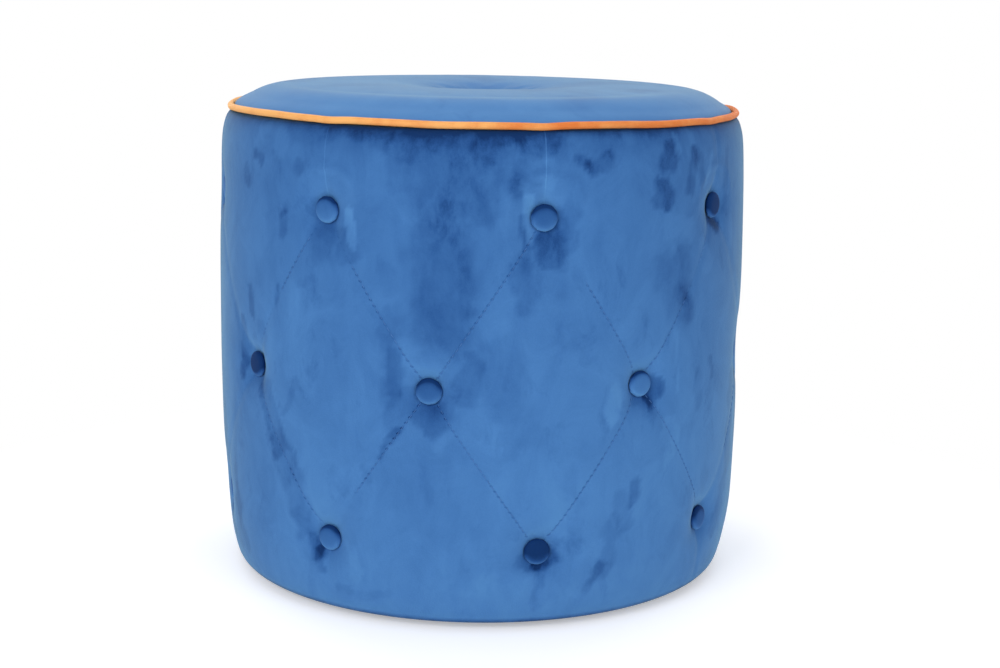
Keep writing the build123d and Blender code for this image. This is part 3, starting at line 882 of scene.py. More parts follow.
# %% Geometry Nodes helpers
def new_tree(name, size):
    """Nodes of a tree with one named size, and the sockets of its inputs."""
    tree = bpy.data.node_groups.new(name, "GeometryNodeTree")
    tree.interface.new_socket("Geometry", in_out="INPUT", socket_type="NodeSocketGeometry")
    tree.interface.new_socket(size, in_out="INPUT", socket_type="NodeSocketFloat")
    tree.interface.new_socket("Geometry", in_out="OUTPUT", socket_type="NodeSocketGeometry")
    n = Nodes(tree)
    return n, n.add("NodeGroupInput").outputs


def end_tree(n, shape, material):
    """Finished tree: copies made real, and the material set."""
    real = n.add("GeometryNodeRealizeInstances", {0: shape})
    paint = n.add("GeometryNodeSetMaterial", {"Geometry": real.outputs[0], "Material": material})
    n.add("NodeGroupOutput", {0: paint.outputs[0]})
    return n.tree


def run_tree(name, source, tree, values):
    """Plain mesh object that a tree makes from a source mesh, with its inputs set."""
    holder = add_object(name + "_source", source)
    modifier = holder.modifiers.new("nodes", "NODES")
    modifier.node_group = tree
    for item in tree.interface.items_tree:
        if item.in_out == "INPUT" and item.name in values:
            modifier[item.identifier] = values[item.name]
    holder.update_tag()
    graph = bpy.context.evaluated_depsgraph_get()
    mesh = bpy.data.meshes.new_from_object(holder.evaluated_get(graph))
    mesh.name = name
    bpy.data.objects.remove(holder)
    mesh.shade_smooth()
    print(name, len(mesh.polygons), "faces")
    return add_object(name, mesh)


# %% Helpers for finishes
def linear(r, g, b):
    """Colour socket value for a colour given as 0 to 255 on screen."""
    parts = [c / 255 for c in (r, g, b)]
    return tuple(c / 12.92 if c <= 0.04045 else ((c + 0.055) / 1.055) ** 2.4 for c in parts) + (1.0,)


class Finish(Nodes):
    """Shader nodes of one material, with its surface and the place on the object."""

    def __init__(self, name):
        self.material = bpy.data.materials.new(name)
        self.material.use_nodes = True
        super().__init__(self.material.node_tree)
        self.surface = self.add("ShaderNodeBsdfPrincipled")
        self.output = self.add("ShaderNodeOutputMaterial", {0: self.surface.outputs[0]})
        self.place = self.add("ShaderNodeTexCoord").outputs["Object"]

    def number(self, name):
        """Number that rides on the points of the mesh."""
        return self.add("ShaderNodeAttribute", attribute_name=name).outputs["Fac"]

    def stretch(self, scale, turn=(0, 0, 0)):
        """Place on the object, scaled and turned, for a pattern with a direction."""
        inputs = {"Vector": self.place, "Scale": scale, "Rotation": turn}
        return self.add("ShaderNodeMapping", inputs).outputs[0]

    def noise(self, scale, detail=2.0, roughness=0.5, distortion=0.0, vector=None):
        """Cloudy field from 0 to 1."""
        inputs = {"Vector": vector or self.place, "Scale": scale, "Detail": detail,
                  "Roughness": roughness, "Distortion": distortion}
        return self.add("ShaderNodeTexNoise", inputs).outputs["Fac"]

    def ramp(self, factor, *stops):
        """Colour from a scale of colours."""
        made = self.add("ShaderNodeValToRGB", {0: factor})
        bands = made.color_ramp.elements
        while len(bands) < len(stops):
            bands.new(0.5)
        for band, (place, colour) in zip(bands, stops):
            band.position, band.color = place, colour
        return made.outputs[0]

    def bump(self, height, strength, distance):
        """Normal of a surface with a fine relief."""
        inputs = {"Height": height, "Strength": strength, "Distance": distance}
        return self.add("ShaderNodeBump", inputs).outputs[0]

    def finish(self, colour, **others):
        """The material, with its colour and other sockets fed; _ stands for a space."""
        self.feed(self.surface.inputs["Base Color"], colour)
        for label, value in others.items():
            self.feed(self.surface.inputs[label.replace("_", " ")], value)
        return self.material


def dress(obj, material):
    """Give an object one material."""
    obj.data.materials.clear()
    obj.data.materials.append(material)


# %% [markdown]
# ## Velvet
# Velvet is a short pile that leans one way, the nap. Where the cloth turns
# towards the way the pile leans it looks darker, where it turns away it looks lighter, and
# every hand that brushed it leaves a patch. So the colour follows three things:
# which way the surface faces, a field of marks, and the fine pile itself. The
# first is painted shade: faces that turn up are painted darker and faces that
# turn down lighter, which stands partly for the nap and partly for light from
# below. The field of marks holds brush marks and painted shade.
# A constant sheen gives the pale rim that velvet has at a grazing angle. The
# sewn lines and needle holes are drawn from the diamond map as painted shade,
# and the tucks as a painted highlight on their fold.

# %% Sewn lines in the velvet
UPRIGHT_PITCH = math.radians(STEP) * BELLY
ROW_RISE = row_height["upper"] - row_height["middle"]
DIAGONAL_RUN = math.hypot(ROW_RISE, UPRIGHT_PITCH / 2)
DIAGONAL_PITCH = UPRIGHT_PITCH * ROW_RISE / DIAGONAL_RUN
LINE_WIDTH = 0.7
LINE_EDGE = 2.2
HOLE_WIDTH = 1.25
HOLE_EDGE = 2.5
STITCH_PITCH = 5.2


def stitch_line(n):
    """Sewn lines, needle holes and tucks from 0 to 1, from the map that follows the diamonds."""
    place = n.parts(n.add("ShaderNodeUVMap", uv_map="diamonds").outputs[0])
    u, v = place["X"], place["Y"]
    leans = [n.math("PINGPONG", n.math(way, u, v), 0.5) for way in ("SUBTRACT", "ADD")]
    slanted = n.math("MULTIPLY", n.math("MINIMUM", *leans), DIAGONAL_PITCH)
    upright = n.math("MULTIPLY", n.math("PINGPONG", u, 0.5), UPRIGHT_PITCH)
    past = n.math("GREATER_THAN", n.math("ABSOLUTE", n.math("SUBTRACT", v, 0.5)), 0.5)
    gap = n.math("MULTIPLY_ADD", past, n.math("SUBTRACT", upright, slanted), slanted)
    line = n.steep(LINE_WIDTH, gap, LINE_EDGE)
    per_row = n.math("MULTIPLY_ADD", past, 2 * ROW_RISE - 2 * DIAGONAL_RUN, 2 * DIAGONAL_RUN)
    along = n.math("DIVIDE", n.math("MULTIPLY", v, per_row), STITCH_PITCH)
    beside = n.math("MULTIPLY", n.math("PINGPONG", along, 0.5), STITCH_PITCH)
    squares = [n.math("POWER", side, 2.0) for side in (beside, gap)]
    hole = n.steep(HOLE_WIDTH, n.math("SQRT", n.math("ADD", *squares)), HOLE_EDGE)
    bare = n.math("SUBTRACT", 1.0, n.number("hidden"))
    sewn = n.math("MULTIPLY", bare, n.math("SUBTRACT", 1.0, past))
    tuck = n.math("MULTIPLY", line, n.math("GREATER_THAN", v, 1.0))
    return n.math("MULTIPLY", line, sewn), n.math("MULTIPLY", hole, sewn), tuck


print("stitch lines", round(DIAGONAL_RUN, 1), "mm long, a stitch every", STITCH_PITCH, "mm")

# %% Velvet
VELVET_HUES = [
    (0.0, linear(3, 47, 100)), (0.14, linear(25, 70, 130)), (0.28, linear(42, 90, 152)),
    (0.5, linear(60, 111, 173)), (0.74, linear(74, 128, 190)), (1.0, linear(86, 143, 201)),
]
# Paler hues for the seat: partly its nap, partly painted light on the top.
SEAT_HUES = [(0.0, linear(24, 62, 118)), (0.5, linear(66, 114, 176)), (1.0, linear(91, 144, 200))]
VELVET_TINT = (0.70, 0.95, 0.55, 1.0)
SEAT_TINT = (0.85, 0.85, 0.3, 1.0)


def velvet(name, hues, up_facing_shade, marks, base, sheen, tint, sewn=False, sway=0.0):
    """Velvet whose tone carries painted shade by the facing of the surface, brush marks and an attribute of
    marks and painted shade.
    """
    n = Finish(name)
    # Painted shade by facing: the tone is painted darker where the surface faces up and lighter where it
    # faces down, and with a sway, darker where it faces the front and lighter where it faces the back.
    facing = n.parts(n.add("ShaderNodeNewGeometry").outputs["Normal"])
    tone = n.math("MULTIPLY_ADD", facing["Y"], sway, n.math("MULTIPLY_ADD", facing["Z"], -up_facing_shade, base))
    nap_and_shade = n.number("nap_and_shade")
    if sewn:
        mottle = n.steep(n.noise(110.0, 3.0, 0.6, 0.3, n.stretch((1.0, 1.0, 0.6))), 0.36, 3.6)
        nap_and_shade = n.math("MULTIPLY", nap_and_shade, n.math("MULTIPLY_ADD", mottle, 0.36, 0.83))
    tone = n.math("ADD", nap_and_shade, tone)
    broad = n.noise(7.0, 3.0, 0.55, 0.8, n.stretch((1.0, 1.0, 0.6)))
    patch = n.noise(26.0, 4.0, 0.62, 1.2, n.stretch((1.0, 1.0, 0.7)))
    streak = n.noise(60.0, 3.0, 0.6, 0.4, n.stretch((1.0, 1.0, 0.3)))
    pile = n.noise(900.0, 2.0, 0.6)
    for field, share in ((broad, 0.50), (patch, 0.38), (streak, 0.06), (pile, 0.12)):
        tone = n.sway(tone, field, share * marks)
    spots = n.noise(46.0, 4.0, 0.62, 0.35, n.stretch((1.0, 1.0, 0.6), (0.25, 0.2, 0.0)))
    smudge = n.math("MULTIPLY", n.steep(0.44, spots, 6.0), n.steep(n.noise(11.0), 0.40, 5.0))
    tone = n.math("MULTIPLY_ADD", smudge, -0.18 * marks, tone)
    height = n.math("ADD", pile, n.math("MULTIPLY", streak, 0.25))
    if sewn:
        line, hole, tuck = stitch_line(n)
        seen = n.steep(patch, 0.30, 3.0)
        # Painted shade along the sewn line and in the needle holes, and a painted highlight along each
        # tuck's fold.
        tone = n.math("MULTIPLY_ADD", line, -0.05, tone)
        for stroke, share in ((hole, -0.30), (tuck, 0.22)):
            tone = n.math("MULTIPLY_ADD", n.math("MULTIPLY", stroke, seen), share, tone)
        height = n.math("SUBTRACT", height, n.math("MULTIPLY", hole, 0.8))
    return n.finish(n.ramp(tone, *hues), Normal=n.bump(height, 0.35, 0.0006), Roughness=0.8,
                    Sheen_Weight=sheen, Sheen_Roughness=0.35, Sheen_Tint=tint, Specular_IOR_Level=0.15)


velvet_wall = velvet("velvet_wall", VELVET_HUES, up_facing_shade=0.5, marks=1.0, base=0.61, sheen=0.26,
                     tint=VELVET_TINT, sewn=True)
# The seat is painted lighter and paler than the wall, partly for the way its nap lies and partly as painted
# light on a top that faces the lamps. Its sway paints the slopes of the dimple that face the front darker
# and those that face the back lighter: painted shade.
velvet_seat = velvet("velvet_seat", SEAT_HUES, up_facing_shade=0.0, marks=0.6, base=0.90, sheen=0.19,
                     tint=SEAT_TINT, sway=0.22)
# On the buttons the rim that faces up is painted darker and the rim that faces down lighter: painted shade
# in the gap above each button.
velvet_button = velvet("velvet_button", VELVET_HUES, up_facing_shade=0.9, marks=0.5, base=0.40, sheen=0.03,
                       tint=VELVET_TINT)
dress(wall, velvet_wall)
dress(seat, velvet_seat)
print("velvet", velvet_wall.name, velvet_seat.name, velvet_button.name)


# %% Piping cloth
def woven(name, dark, light, threads, sheen, side_shade=0.0):
    """Smooth woven cloth with a fine diagonal thread, soft worn patches and painted shade from side to side.
    """
    n = Finish(name)
    # Painted shade from side to side: the X term paints the cloth lighter on one side and darker on the
    # other; the noise gives soft worn patches.
    slow_tone = n.math("MULTIPLY_ADD", n.parts(n.place)["X"], side_shade, n.noise(40.0, 3.0, 0.6))
    weave = {"Vector": n.place, "Scale": threads, "Distortion": 1.5}
    thread = n.add("ShaderNodeTexWave", weave, bands_direction="DIAGONAL").outputs["Fac"]
    pile = n.noise(1500.0, 2.0, 0.6)
    tone = n.sway(n.sway(slow_tone, thread, 0.12), pile, 0.25)
    relief = n.bump(n.math("ADD", thread, pile), 0.3, 0.0003)
    return n.finish(n.ramp(tone, (0.25, dark), (0.75, light)), Normal=relief, Roughness=0.62,
                    Sheen_Weight=sheen, Sheen_Roughness=0.4, Specular_IOR_Level=0.3)


# The piping is painted lighter at the left, the side of the key light, and darker at the right: painted
# shade.
piping_cloth = woven("piping_cloth", linear(226, 122, 52), linear(252, 184, 108), 700.0, 0.03, -1.6)
print("piping cloth", piping_cloth.name)

# %% Piping swept along its ring
sweep, given = new_tree("swept_piping", "Thickness")
path = sweep.add("GeometryNodeMeshToCurve", {0: given["Geometry"]}).outputs[0]
half = sweep.math("DIVIDE", given["Thickness"], 2.0)
section = sweep.add("GeometryNodeCurvePrimitiveCircle", {"Resolution": 16, "Radius": half}).outputs[0]
tube = sweep.add("GeometryNodeCurveToMesh", {"Curve": path, "Profile Curve": section}).outputs[0]
swept_piping = end_tree(sweep, tube, piping_cloth)
piping = run_tree("piping", ring, swept_piping, {"Thickness": PIPING_THICKNESS * MM})
filler = run_tree("filler_cord", ring, swept_piping, {"Thickness": CORD_THICKNESS * MM})
dress(piping, piping_cloth)

# %% [markdown]
# ## Covered buttons
# A covered button is a low metal dome wrapped in a scrap of the same velvet. They
# could be set one by one, but they are all alike: one dome is turned from a
# profile, and Geometry Nodes set a copy on every tuft, facing straight out. Each
# scrap was cut with its nap another way, so every button has a tone of its own,
# which rides along as an attribute.

# %% One covered button
BUTTON_PROFILE = [
    (0.0, 6.6), (2.5, 6.57), (5.0, 6.48), (7.0, 6.26), (8.2, 5.9), (9.1, 5.3), (9.7, 4.5), (10.0, 3.6),
    (9.9, 2.8), (9.2, 2.1), (7.2, 1.5), (4.0, 0.8), (0.0, 0.4),
]
BUTTON_SIDES = 40
RIM_FOLD = 0.12


def circle_of(r, z, sides):
    """Points of a level circle, whose radius may change from side to side."""
    f = 2 * math.pi * np.arange(sides) / sides
    return np.column_stack([r * np.cos(f), r * np.sin(f), np.full(sides, z)])


cap_rings = BUTTON_PROFILE[1:-1]
cap_points = [[(0.0, 0.0, BUTTON_PROFILE[0][1])]]
for r, z in cap_rings:
    # The cloth lies in small folds low on the rim
    fold = RIM_FOLD if r > 8.5 and z < 4 else 0.0
    cap_points.append(circle_of(r + fold * np.cos(np.arange(BUTTON_SIDES) * math.pi / 2), z, BUTTON_SIDES))
cap_points = np.vstack(cap_points + [[(0.0, 0.0, BUTTON_PROFILE[-1][1])]])
cap_faces = strips(len(cap_rings), BUTTON_SIDES, start=1, flip=True)
last = 1 + (len(cap_rings) - 1) * BUTTON_SIDES
for k in range(BUTTON_SIDES):
    m = (k + 1) % BUTTON_SIDES
    cap_faces += [(0, 1 + k, 1 + m), (last + k, len(cap_points) - 1, last + m)]
cap = mesh_of("button_cap", cap_points * MM, cap_faces)
cap.shade_smooth()
print("button cap", len(cap_faces), "faces")


# %% Copies on spots
def spot_points(spots):
    """Mesh of bare points, each with the way it faces and its tone."""
    places, ways, tones = zip(*spots)
    mesh = mesh_of("spots", [tuple(place) for place in places])
    facing = mesh.attributes.new("facing", "FLOAT_VECTOR", "POINT")
    facing.data.foreach_set("vector", np.array([tuple(way) for way in ways], float).ravel())
    mesh.attributes.new("nap_and_shade", "FLOAT", "POINT").data.foreach_set("value", list(tones))
    return mesh


def copies(name, shape, spots, material, axis="Z", pivot="AUTO"):
    """Object with a copy of a shape on each spot, turned to face along the spot's way."""
    pattern = add_object(name + "_shape", shape)
    n, given = new_tree(name + "_copies", "Size")
    info = n.add("GeometryNodeObjectInfo", {"Object": pattern})
    facing = n.add("GeometryNodeInputNamedAttribute", {"Name": "facing"}, data_type="FLOAT_VECTOR")
    turned = n.add("FunctionNodeAlignRotationToVector", {"Vector": facing.outputs["Attribute"]},
                   axis=axis, pivot_axis=pivot)
    placed = n.add("GeometryNodeInstanceOnPoints", {
        "Points": given["Geometry"], "Instance": info.outputs["Geometry"],
        "Rotation": turned.outputs[0], "Scale": given["Size"],
    })
    tree = end_tree(n, placed.outputs[0], material)
    made = run_tree(name, spot_points(spots), tree, {"Size": 1.0})
    bpy.data.objects.remove(pattern)
    dress(made, material)
    return made


def out_from_axis(turn):
    """Unit vector that points straight out of the wall at an angle."""
    return Vector((math.sin(math.radians(turn)), -math.cos(math.radians(turn)), 0.0))


# %% Buttons on their tufts
BUTTON_TONES = {
    "upper": (-0.10, -0.50, 0.0, 0.1, -0.2, 0.05, 0.2, 0.04),
    "middle": (0.16, 0.0, -0.2, 0.1, -0.05, 0.05, -0.50, -0.09),
    "lower": (-0.40, -0.12, -0.1, 0.1, 0.0, -0.2, 0.1, 0.03),
}
SEAT_BUTTON_TONE = 0.85
SEAT_BUTTON_SINK = 0.3

tones = [tone for row in ROWS for tone in BUTTON_TONES[row]]
button_places = []
for (turn, z, floor), tone in zip(tufts, tones):
    out = out_from_axis(turn)
    button_places.append((out * floor * MM + Vector((0, 0, z * MM)), out, tone))
low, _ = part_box("seat_button")
seat_button_place = (0.0, 0.0, low[2] - SEAT_BUTTON_SINK * MM)
button_places.append((seat_button_place, (0.0, 0.0, 1.0), SEAT_BUTTON_TONE))
buttons = copies("covered_buttons", cap, button_places, velvet_button)

# %% [markdown]
# ## Stitches
# The thread shows as short stitches at the bottom of each slanted channel, where
# the pile doesn't hide it; the upright tucks are folded, not sewn. The finish could
# draw them, but thread stands up from the cloth and has a colour of its own. So
# every line is laid on the finished wall by casting rays at it from outside, and
# Geometry Nodes set a small capsule at each stitch, one pitch apart.

# %% Stitches
STITCH_LENGTH = 3.6
STITCH_THICKNESS = 0.5
STITCH_LIFT = 0.05
STITCH_MARGIN = BUTTON_RADIUS + 3.0
LOOK_AHEAD = 0.01
wall_surface = tree_of(wall)


def on_wall(line, share):
    """Point of the velvet at a share of the way along a line, and the way it faces."""
    (t0, z0), (t1, z1) = line
    return met_inwards(wall_surface, out_from_axis(t0 + (t1 - t0) * share), z0 + (z1 - z0) * share)


def stitch_spots():
    """Stitches in sight, as points with the way each one runs."""
    spots = []
    for line in sewn_lines:
        (t0, z0), (t1, z1) = line
        run = math.hypot(*unrolled(t1, z1, (t0, z0)))
        marks = np.arange(STITCH_MARGIN, run - STITCH_MARGIN, STITCH_PITCH) / run
        hidden = hidden_share(t0 + (t1 - t0) * marks, z0 + (z1 - z0) * marks)
        for m in marks[hidden < 0.5]:
            here, normal = on_wall(line, m)
            ahead, _ = on_wall(line, m + LOOK_AHEAD)
            spots.append((here + normal * STITCH_LIFT * MM, (ahead - here).normalized(), 0.0))
    return spots


def capsule(length, thickness, sides=6):
    """Low capsule along Z with few faces, for a stitch of thread."""
    rings = [(-0.5, 0.35), (-0.36, 0.9), (0.0, 1.0), (0.36, 0.9), (0.5, 0.35)]
    points = np.vstack([circle_of(thickness / 2 * wide, length * high, sides) for high, wide in rings])
    ends = [tuple(reversed(range(sides))), tuple(range(len(points) - sides, len(points)))]
    return mesh_of("capsule", points * MM, ends + strips(len(rings), sides))


thread_blue = woven("thread_blue", linear(58, 106, 170), linear(74, 126, 190), 1500.0, 0.1)
stitches = copies("stitches", capsule(STITCH_LENGTH, STITCH_THICKNESS), stitch_spots(), thread_blue)

# %% [markdown]
# ## The underside
# A round of black non-woven cloth closes the base. It is stapled near its edge
# over the turned-in hem of the wall, so it is drawn up at each staple and hangs a
# little slack between them and in the middle. It is one thin closed sheet, and
# Geometry Nodes set a bent wire staple at each place.

# %% Dust cover
low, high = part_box("dust_cover")
DUST_RADIUS = (high[0] - low[0]) / 2 / MM
DUST_HEIGHT = low[2] / MM
DUST_THICKNESS = 0.5
DUST_COLUMNS = 192
STAPLE_COUNT = 24
STAPLE_INSET = 6.0
STAPLE_RADIUS = DUST_RADIUS - STAPLE_INSET
STAPLE_DRAW = 0.22
STAPLE_SPREAD = 16.0
SLACK = 0.55
SLACK_REACH = 70.0
DUST_GAP = 0.05
glide_turn, _ = turn_and_height("glide_1")
staple_turns = [glide_turn + (k + 0.5) * 360.0 / STAPLE_COUNT for k in range(STAPLE_COUNT)]


def dust_height(turn, r):
    """Height in mm of the underside of the dust cover: drawn up at staples, slack between."""
    ripple = np.cos(np.radians(turn - staple_turns[0]) * STAPLE_COUNT)
    edge = np.exp(-((r - STAPLE_RADIUS) / STAPLE_SPREAD) ** 2)
    slack = SLACK * np.exp(-(r / SLACK_REACH) ** 2) * (1 + 0.4 * np.sin(np.radians(2 * turn + 40)))
    return DUST_HEIGHT + DUST_GAP + edge * STAPLE_DRAW * (1 + ripple) + slack


def round_sheet(name, skin, thickness):
    """Closed thin sheet from rings of points that run from the middle out."""
    rings, cols = skin.shape[:2]
    lift = np.array([0, 0, thickness])
    pole = skin[0].mean(axis=0)
    verts = np.vstack([skin.reshape(-1, 3), (skin + lift).reshape(-1, 3), [pole, pole + lift]])
    top, under, rim = rings * cols, 2 * rings * cols, (rings - 1) * cols
    faces = strips(rings, cols) + strips(rings, cols, top, flip=True)
    for j in range(cols):
        k = (j + 1) % cols
        faces.append((rim + j, rim + k, top + rim + k, top + rim + j))
        faces += [(k, j, under), (top + j, top + k, under + 1)]
    mesh = mesh_of(name, verts * MM, faces)
    mesh.shade_smooth()
    return add_object(name, mesh)


dust_rings = np.concatenate([[0.4], np.linspace(6, DUST_RADIUS, 40)])
turn, r = np.meshgrid(even_turns(DUST_COLUMNS), dust_rings)
dust_cloth = round_sheet("dust_cloth", around(turn, r, dust_height(turn, r)), DUST_THICKNESS)
print("dust cloth", len(dust_cloth.data.polygons), "faces, radius", round(DUST_RADIUS, 1), "mm")


# %% One staple
def bent_staple():
    """Staple of flat wire with rounded corners, its crown along X and its legs up Z."""
    bend = [(3.9, 0.0), (4.4, 0.15), (4.6, 0.6), (4.6, 4.6)]
    path = np.array([(-x, z) for x, z in reversed(bend)] + bend)
    run = np.gradient(path, axis=0)
    run /= np.linalg.norm(run, axis=1, keepdims=True)
    wire = [(-0.6, -0.35), (0.6, -0.35), (0.6, 0.35), (-0.6, 0.35)]
    points = np.array([(x - dz * lift, side, z + dx * lift)
                       for (x, z), (dx, dz) in zip(path, run) for side, lift in wire])
    ends = [(3, 2, 1, 0), tuple(range(len(points) - 4, len(points)))]
    return mesh_of("staple", points * MM, ends + strips(len(path), 4))


one_staple = bent_staple()
print("staple", len(one_staple.polygons), "faces")

# %% [markdown]
# ## Finishes of the hidden pieces
# Under the velvet sit foam, wadding, boards, twine and steel. They keep the
# shapes of the solids, and each gets a finish of its own, so the pouf can also be
# shown in pieces: cell holes in foam, grain in wood, fibre in hardboard. Pictures
# of them would need files and show seams, so noise in a few nodes does it.


# %% Finishes of the hidden pieces
def timber(name, dark, light, grain):
    """Raw wood with long grain and fine pores."""
    n = Finish(name)
    rings = n.noise(9.0, 4.0, 0.6, 1.5, n.stretch(grain))
    pores = n.noise(160.0, 2.0, 0.6, 0.0, n.stretch(grain))
    colour = n.ramp(n.sway(rings, pores, 0.5), (0.3, dark), (0.7, light))
    return n.finish(colour, Normal=n.bump(pores, 0.25, 0.0004), Roughness=0.72)


def fibre(name, dark, light, scale, depth):
    """Soft or pressed fibre: foam, wadding, hardboard or non-woven cloth."""
    n = Finish(name)
    cells = n.noise(scale, 3.0, 0.65)
    colour = n.ramp(n.sway(cells, n.noise(scale / 25.0), 0.5), (0.32, dark), (0.68, light))
    return n.finish(colour, Normal=n.bump(cells, 0.5, depth), Roughness=0.9)


def metal(name, dark, light):
    """Zinc plated steel with fine drawn scratches."""
    n = Finish(name)
    scratch = n.noise(700.0, 2.0, 0.6, 0.0, n.stretch((1.0, 0.15, 1.0)))
    return n.finish(n.ramp(scratch, (0.3, dark), (0.7, light)), Normal=n.bump(scratch, 0.15, 0.0001),
                    Roughness=n.math("MULTIPLY_ADD", scratch, 0.25, 0.25), Metallic=1.0)


def moulded(name, dark, light):
    """Moulded plastic with a fine eggshell skin."""
    n = Finish(name)
    skin, slow_tone = n.noise(1400.0), n.noise(90.0, 3.0, 0.6)
    return n.finish(n.ramp(slow_tone, (0.3, dark), (0.75, light)), Normal=n.bump(skin, 0.3, 0.0001),
                    Roughness=n.math("MULTIPLY_ADD", slow_tone, 0.25, 0.35), Specular_IOR_Level=0.4)


plywood = timber("plywood", linear(188, 144, 92), linear(221, 184, 132), (1.0, 0.12, 1.0))
softwood = timber("softwood", linear(196, 152, 96), linear(228, 193, 142), (1.0, 1.0, 0.12))
hardboard = fibre("hardboard", linear(104, 76, 50), linear(146, 110, 76), 500.0, 0.0002)
foam = fibre("open_cell_foam", linear(212, 198, 146), linear(238, 228, 186), 420.0, 0.0006)
wadding = fibre("soft_wadding", linear(222, 222, 216), linear(246, 246, 242), 160.0, 0.0012)
non_woven = fibre("non_woven_cloth", linear(34, 34, 37), linear(58, 58, 62), 650.0, 0.0003)
steel = metal("zinc_steel", linear(128, 130, 134), linear(178, 180, 184))
black_plastic = moulded("black_plastic", linear(30, 30, 32), linear(50, 50, 53))
waxed_twine = woven("waxed_twine", linear(168, 148, 108), linear(208, 190, 148), 900.0, 0.0)
cotton_cord = woven("cotton_cord", linear(204, 196, 178), linear(234, 228, 212), 600.0, 0.0)

# %% Finishes on their solids
# Start of a node's name, and its finish; the longest start that fits is taken
FINISHES = {
    "base_board": plywood, "top_board": plywood, "upright": softwood, "drum_wall": hardboard,
    "wall_foam": foam, "seat_foam": foam, "seat_wadding": wadding, "piping_cord": cotton_cord,
    "twine": waxed_twine, "seat_twine": waxed_twine, "glide_screws": steel, "glide": black_plastic,
    "washers": steel, "seat_washer": steel, "base_screws": steel, "top_screws": steel,
    "wall_brads": steel, "base_staples": steel, "button": velvet_button, "seat_button": velvet_button,
    "wall_cover": velvet_wall, "seat_cover": velvet_seat, "piping_cover": piping_cloth,
    "dust_cover": non_woven,
}
for node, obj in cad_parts.items():
    start_of = max((key for key in FINISHES if node.startswith(key)), key=len)
    if not obj.material_slots:
        obj.data.materials.append(FINISHES[start_of])
    for slot in obj.material_slots:
        slot.material = FINISHES[start_of]
print("finishes on", len(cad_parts), "nodes")

# %% Staples in place
STAPLE_DROP = 0.4
dress(dust_cloth, non_woven)
dress(filler, cotton_cord)
staple_level = Vector((0, 0, (DUST_HEIGHT - STAPLE_DROP) * MM))
staple_spots = [(out_from_axis(t) * STAPLE_RADIUS * MM + staple_level, out_from_axis(t + 90.0), 0.0)
                for t in staple_turns]
staples = copies("staples", one_staple, staple_spots, steel, axis="X", pivot="Z")
staples.data.shade_flat()

# %% [markdown]
# ## Every piece on its body
# The pouf has no moving pieces, so every piece rides on the one body. Each piece
# names the solids it stands for, which are hidden, and the name of its finish.

# %% Pieces on the body
pieces = [
    (wall, "velvet_wall", ["wall_cover"]),
    (seat, "velvet_seat", ["seat_cover"]),
    (piping, "piping_fabric", ["piping_cover"]),
    (buttons, "velvet_button", [n for row in ROWS for n in button_nodes[row]] + ["seat_button"]),
    (filler, "filler_cord", ["piping_cord"]),
    (stitches, "velvet_wall", []),
    (dust_cloth, "dust_cloth", ["dust_cover"]),
    (staples, "steel", ["base_staples"]),
]
for piece, slot_name, nodes in pieces:
    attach(piece, "root")
    if nodes:
        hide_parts(*nodes)
print("pieces", [piece.name for piece, _, _ in pieces])

# %% [markdown]
# ## Floor, light and camera
# The pouf stands on a plain white floor in soft studio light. The floor is lit
# like any white floor near the pouf, so it keeps the shadow, and turns to plain
# white further out. The camera stands low in front with a mild long lens.

# %% Floor
WHITE = (1.0, 1.0, 1.0, 1.0)
FLOOR_GREY = (0.92, 0.92, 0.92, 1.0)
FLOOR_GLOW = 0.36
FADE_START = 0.24
FADE_SLOPE = 3.0
FLOOR_RADIUS = 6.0
FLOOR_SIDES = 96
FLOOR_LEVEL = -0.0002


def studio_floor():
    """Round white floor that keeps the shadow near the object and is plain white far from it."""
    n = Finish("studio_floor")
    seen = n.in_sight()
    n.finish(FLOOR_GREY, Roughness=0.95, Specular_IOR_Level=0.0, Emission_Color=WHITE,
             Emission_Strength=n.math("MULTIPLY", seen, FLOOR_GLOW))
    far = n.add("ShaderNodeVectorMath", {0: n.place}, operation="LENGTH").outputs["Value"]
    plain = n.math("MULTIPLY", n.steep(far, FADE_START, FADE_SLOPE), seen)
    glow = n.add("ShaderNodeEmission").outputs[0]
    mix = n.add("ShaderNodeMixShader", {0: plain, 1: n.surface.outputs[0], 2: glow})
    n.feed(n.output.inputs[0], mix.outputs[0])
    rim = circle_of(FLOOR_RADIUS, FLOOR_LEVEL, FLOOR_SIDES)
    mesh = mesh_of("floor", rim, [tuple(range(FLOOR_SIDES))])
    mesh.materials.append(n.material)
    return add_object("floor", mesh)


floor_disc = studio_floor()
print("floor", floor_disc.name)

# %% Light
SKY = 0.42
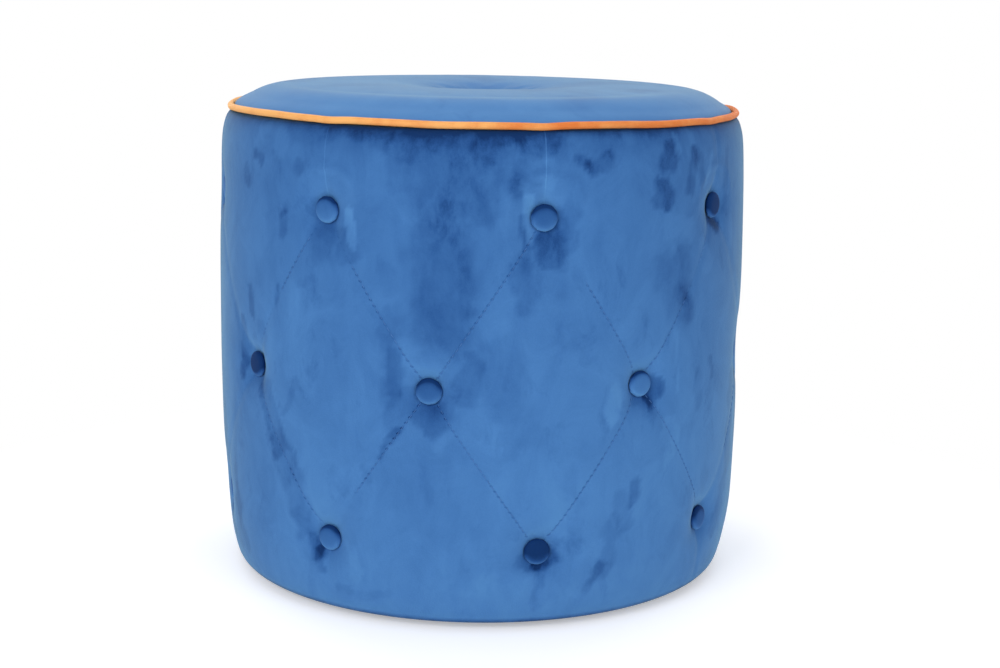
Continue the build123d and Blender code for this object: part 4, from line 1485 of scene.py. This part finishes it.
# Each lamp: place, height of its target, side in metres, power in watts
LAMPS = {
    "front_left": ((-1.5, -2.4, 1.6), 0.25, 1.6, 35),
    "front_right": ((1.7, -2.1, 1.2), 0.25, 1.6, 17),
    "back_left": ((-1.6, 2.3, 1.5), 0.25, 1.6, 20),
    "back_right": ((1.6, 2.3, 1.3), 0.25, 1.6, 15),
    "above": ((0.0, 0.3, 2.3), 0.3, 1.8, 12),
}
world = bpy.data.worlds.new("studio")
bpy.context.scene.world = world
world.use_nodes = True
room = Nodes(world.node_tree)
strength = room.math("MULTIPLY_ADD", room.in_sight(), 1.0 - SKY, SKY)
sky = room.add("ShaderNodeBackground", {"Color": WHITE, "Strength": strength})
room.add("ShaderNodeOutputWorld", {0: sky.outputs[0]})
for name, (place, target, side, power) in LAMPS.items():
    lamp = bpy.data.lights.new(name, "AREA")
    lamp.shape = "SQUARE"
    lamp.size = side
    lamp.energy = power
    soft_box = add_object(name, lamp)
    soft_box.location = place
    aim = Vector((0, 0, target)) - Vector(place)
    soft_box.rotation_euler = aim.to_track_quat("-Z", "Y").to_euler()
bpy.context.scene.view_settings.view_transform = "Standard"
print("lights", list(LAMPS))

# %% Camera
CAMERA_PLACE = (0.0, -1.4476, 0.478)
YAW, PITCH, ROLL = math.radians(0.654), math.radians(11.33), math.radians(0.906)
right = Vector((math.cos(YAW), -math.sin(YAW), 0.0))
ahead = Vector((math.sin(YAW) * math.cos(PITCH), math.cos(YAW) * math.cos(PITCH), -math.sin(PITCH)))
up = Vector((math.sin(YAW) * math.sin(PITCH), math.cos(YAW) * math.sin(PITCH), math.cos(PITCH)))
side = right * math.cos(ROLL) + up * math.sin(ROLL)
top = up * math.cos(ROLL) - right * math.sin(ROLL)
lens = bpy.data.cameras.new("camera")
lens.lens = 62.54
lens.sensor_width = 36.0
camera = add_object("camera", lens)
camera.matrix_world = Matrix.Translation(CAMERA_PLACE) @ Matrix((side, top, -ahead)).transposed().to_4x4()
bpy.context.scene.camera = camera
print("camera at", CAMERA_PLACE)

# %% [markdown]
# ## Brought up to date
# The view layer is brought up to date, so every piece stands where it was placed.

# %% Brought up to date
bpy.context.view_layer.update()
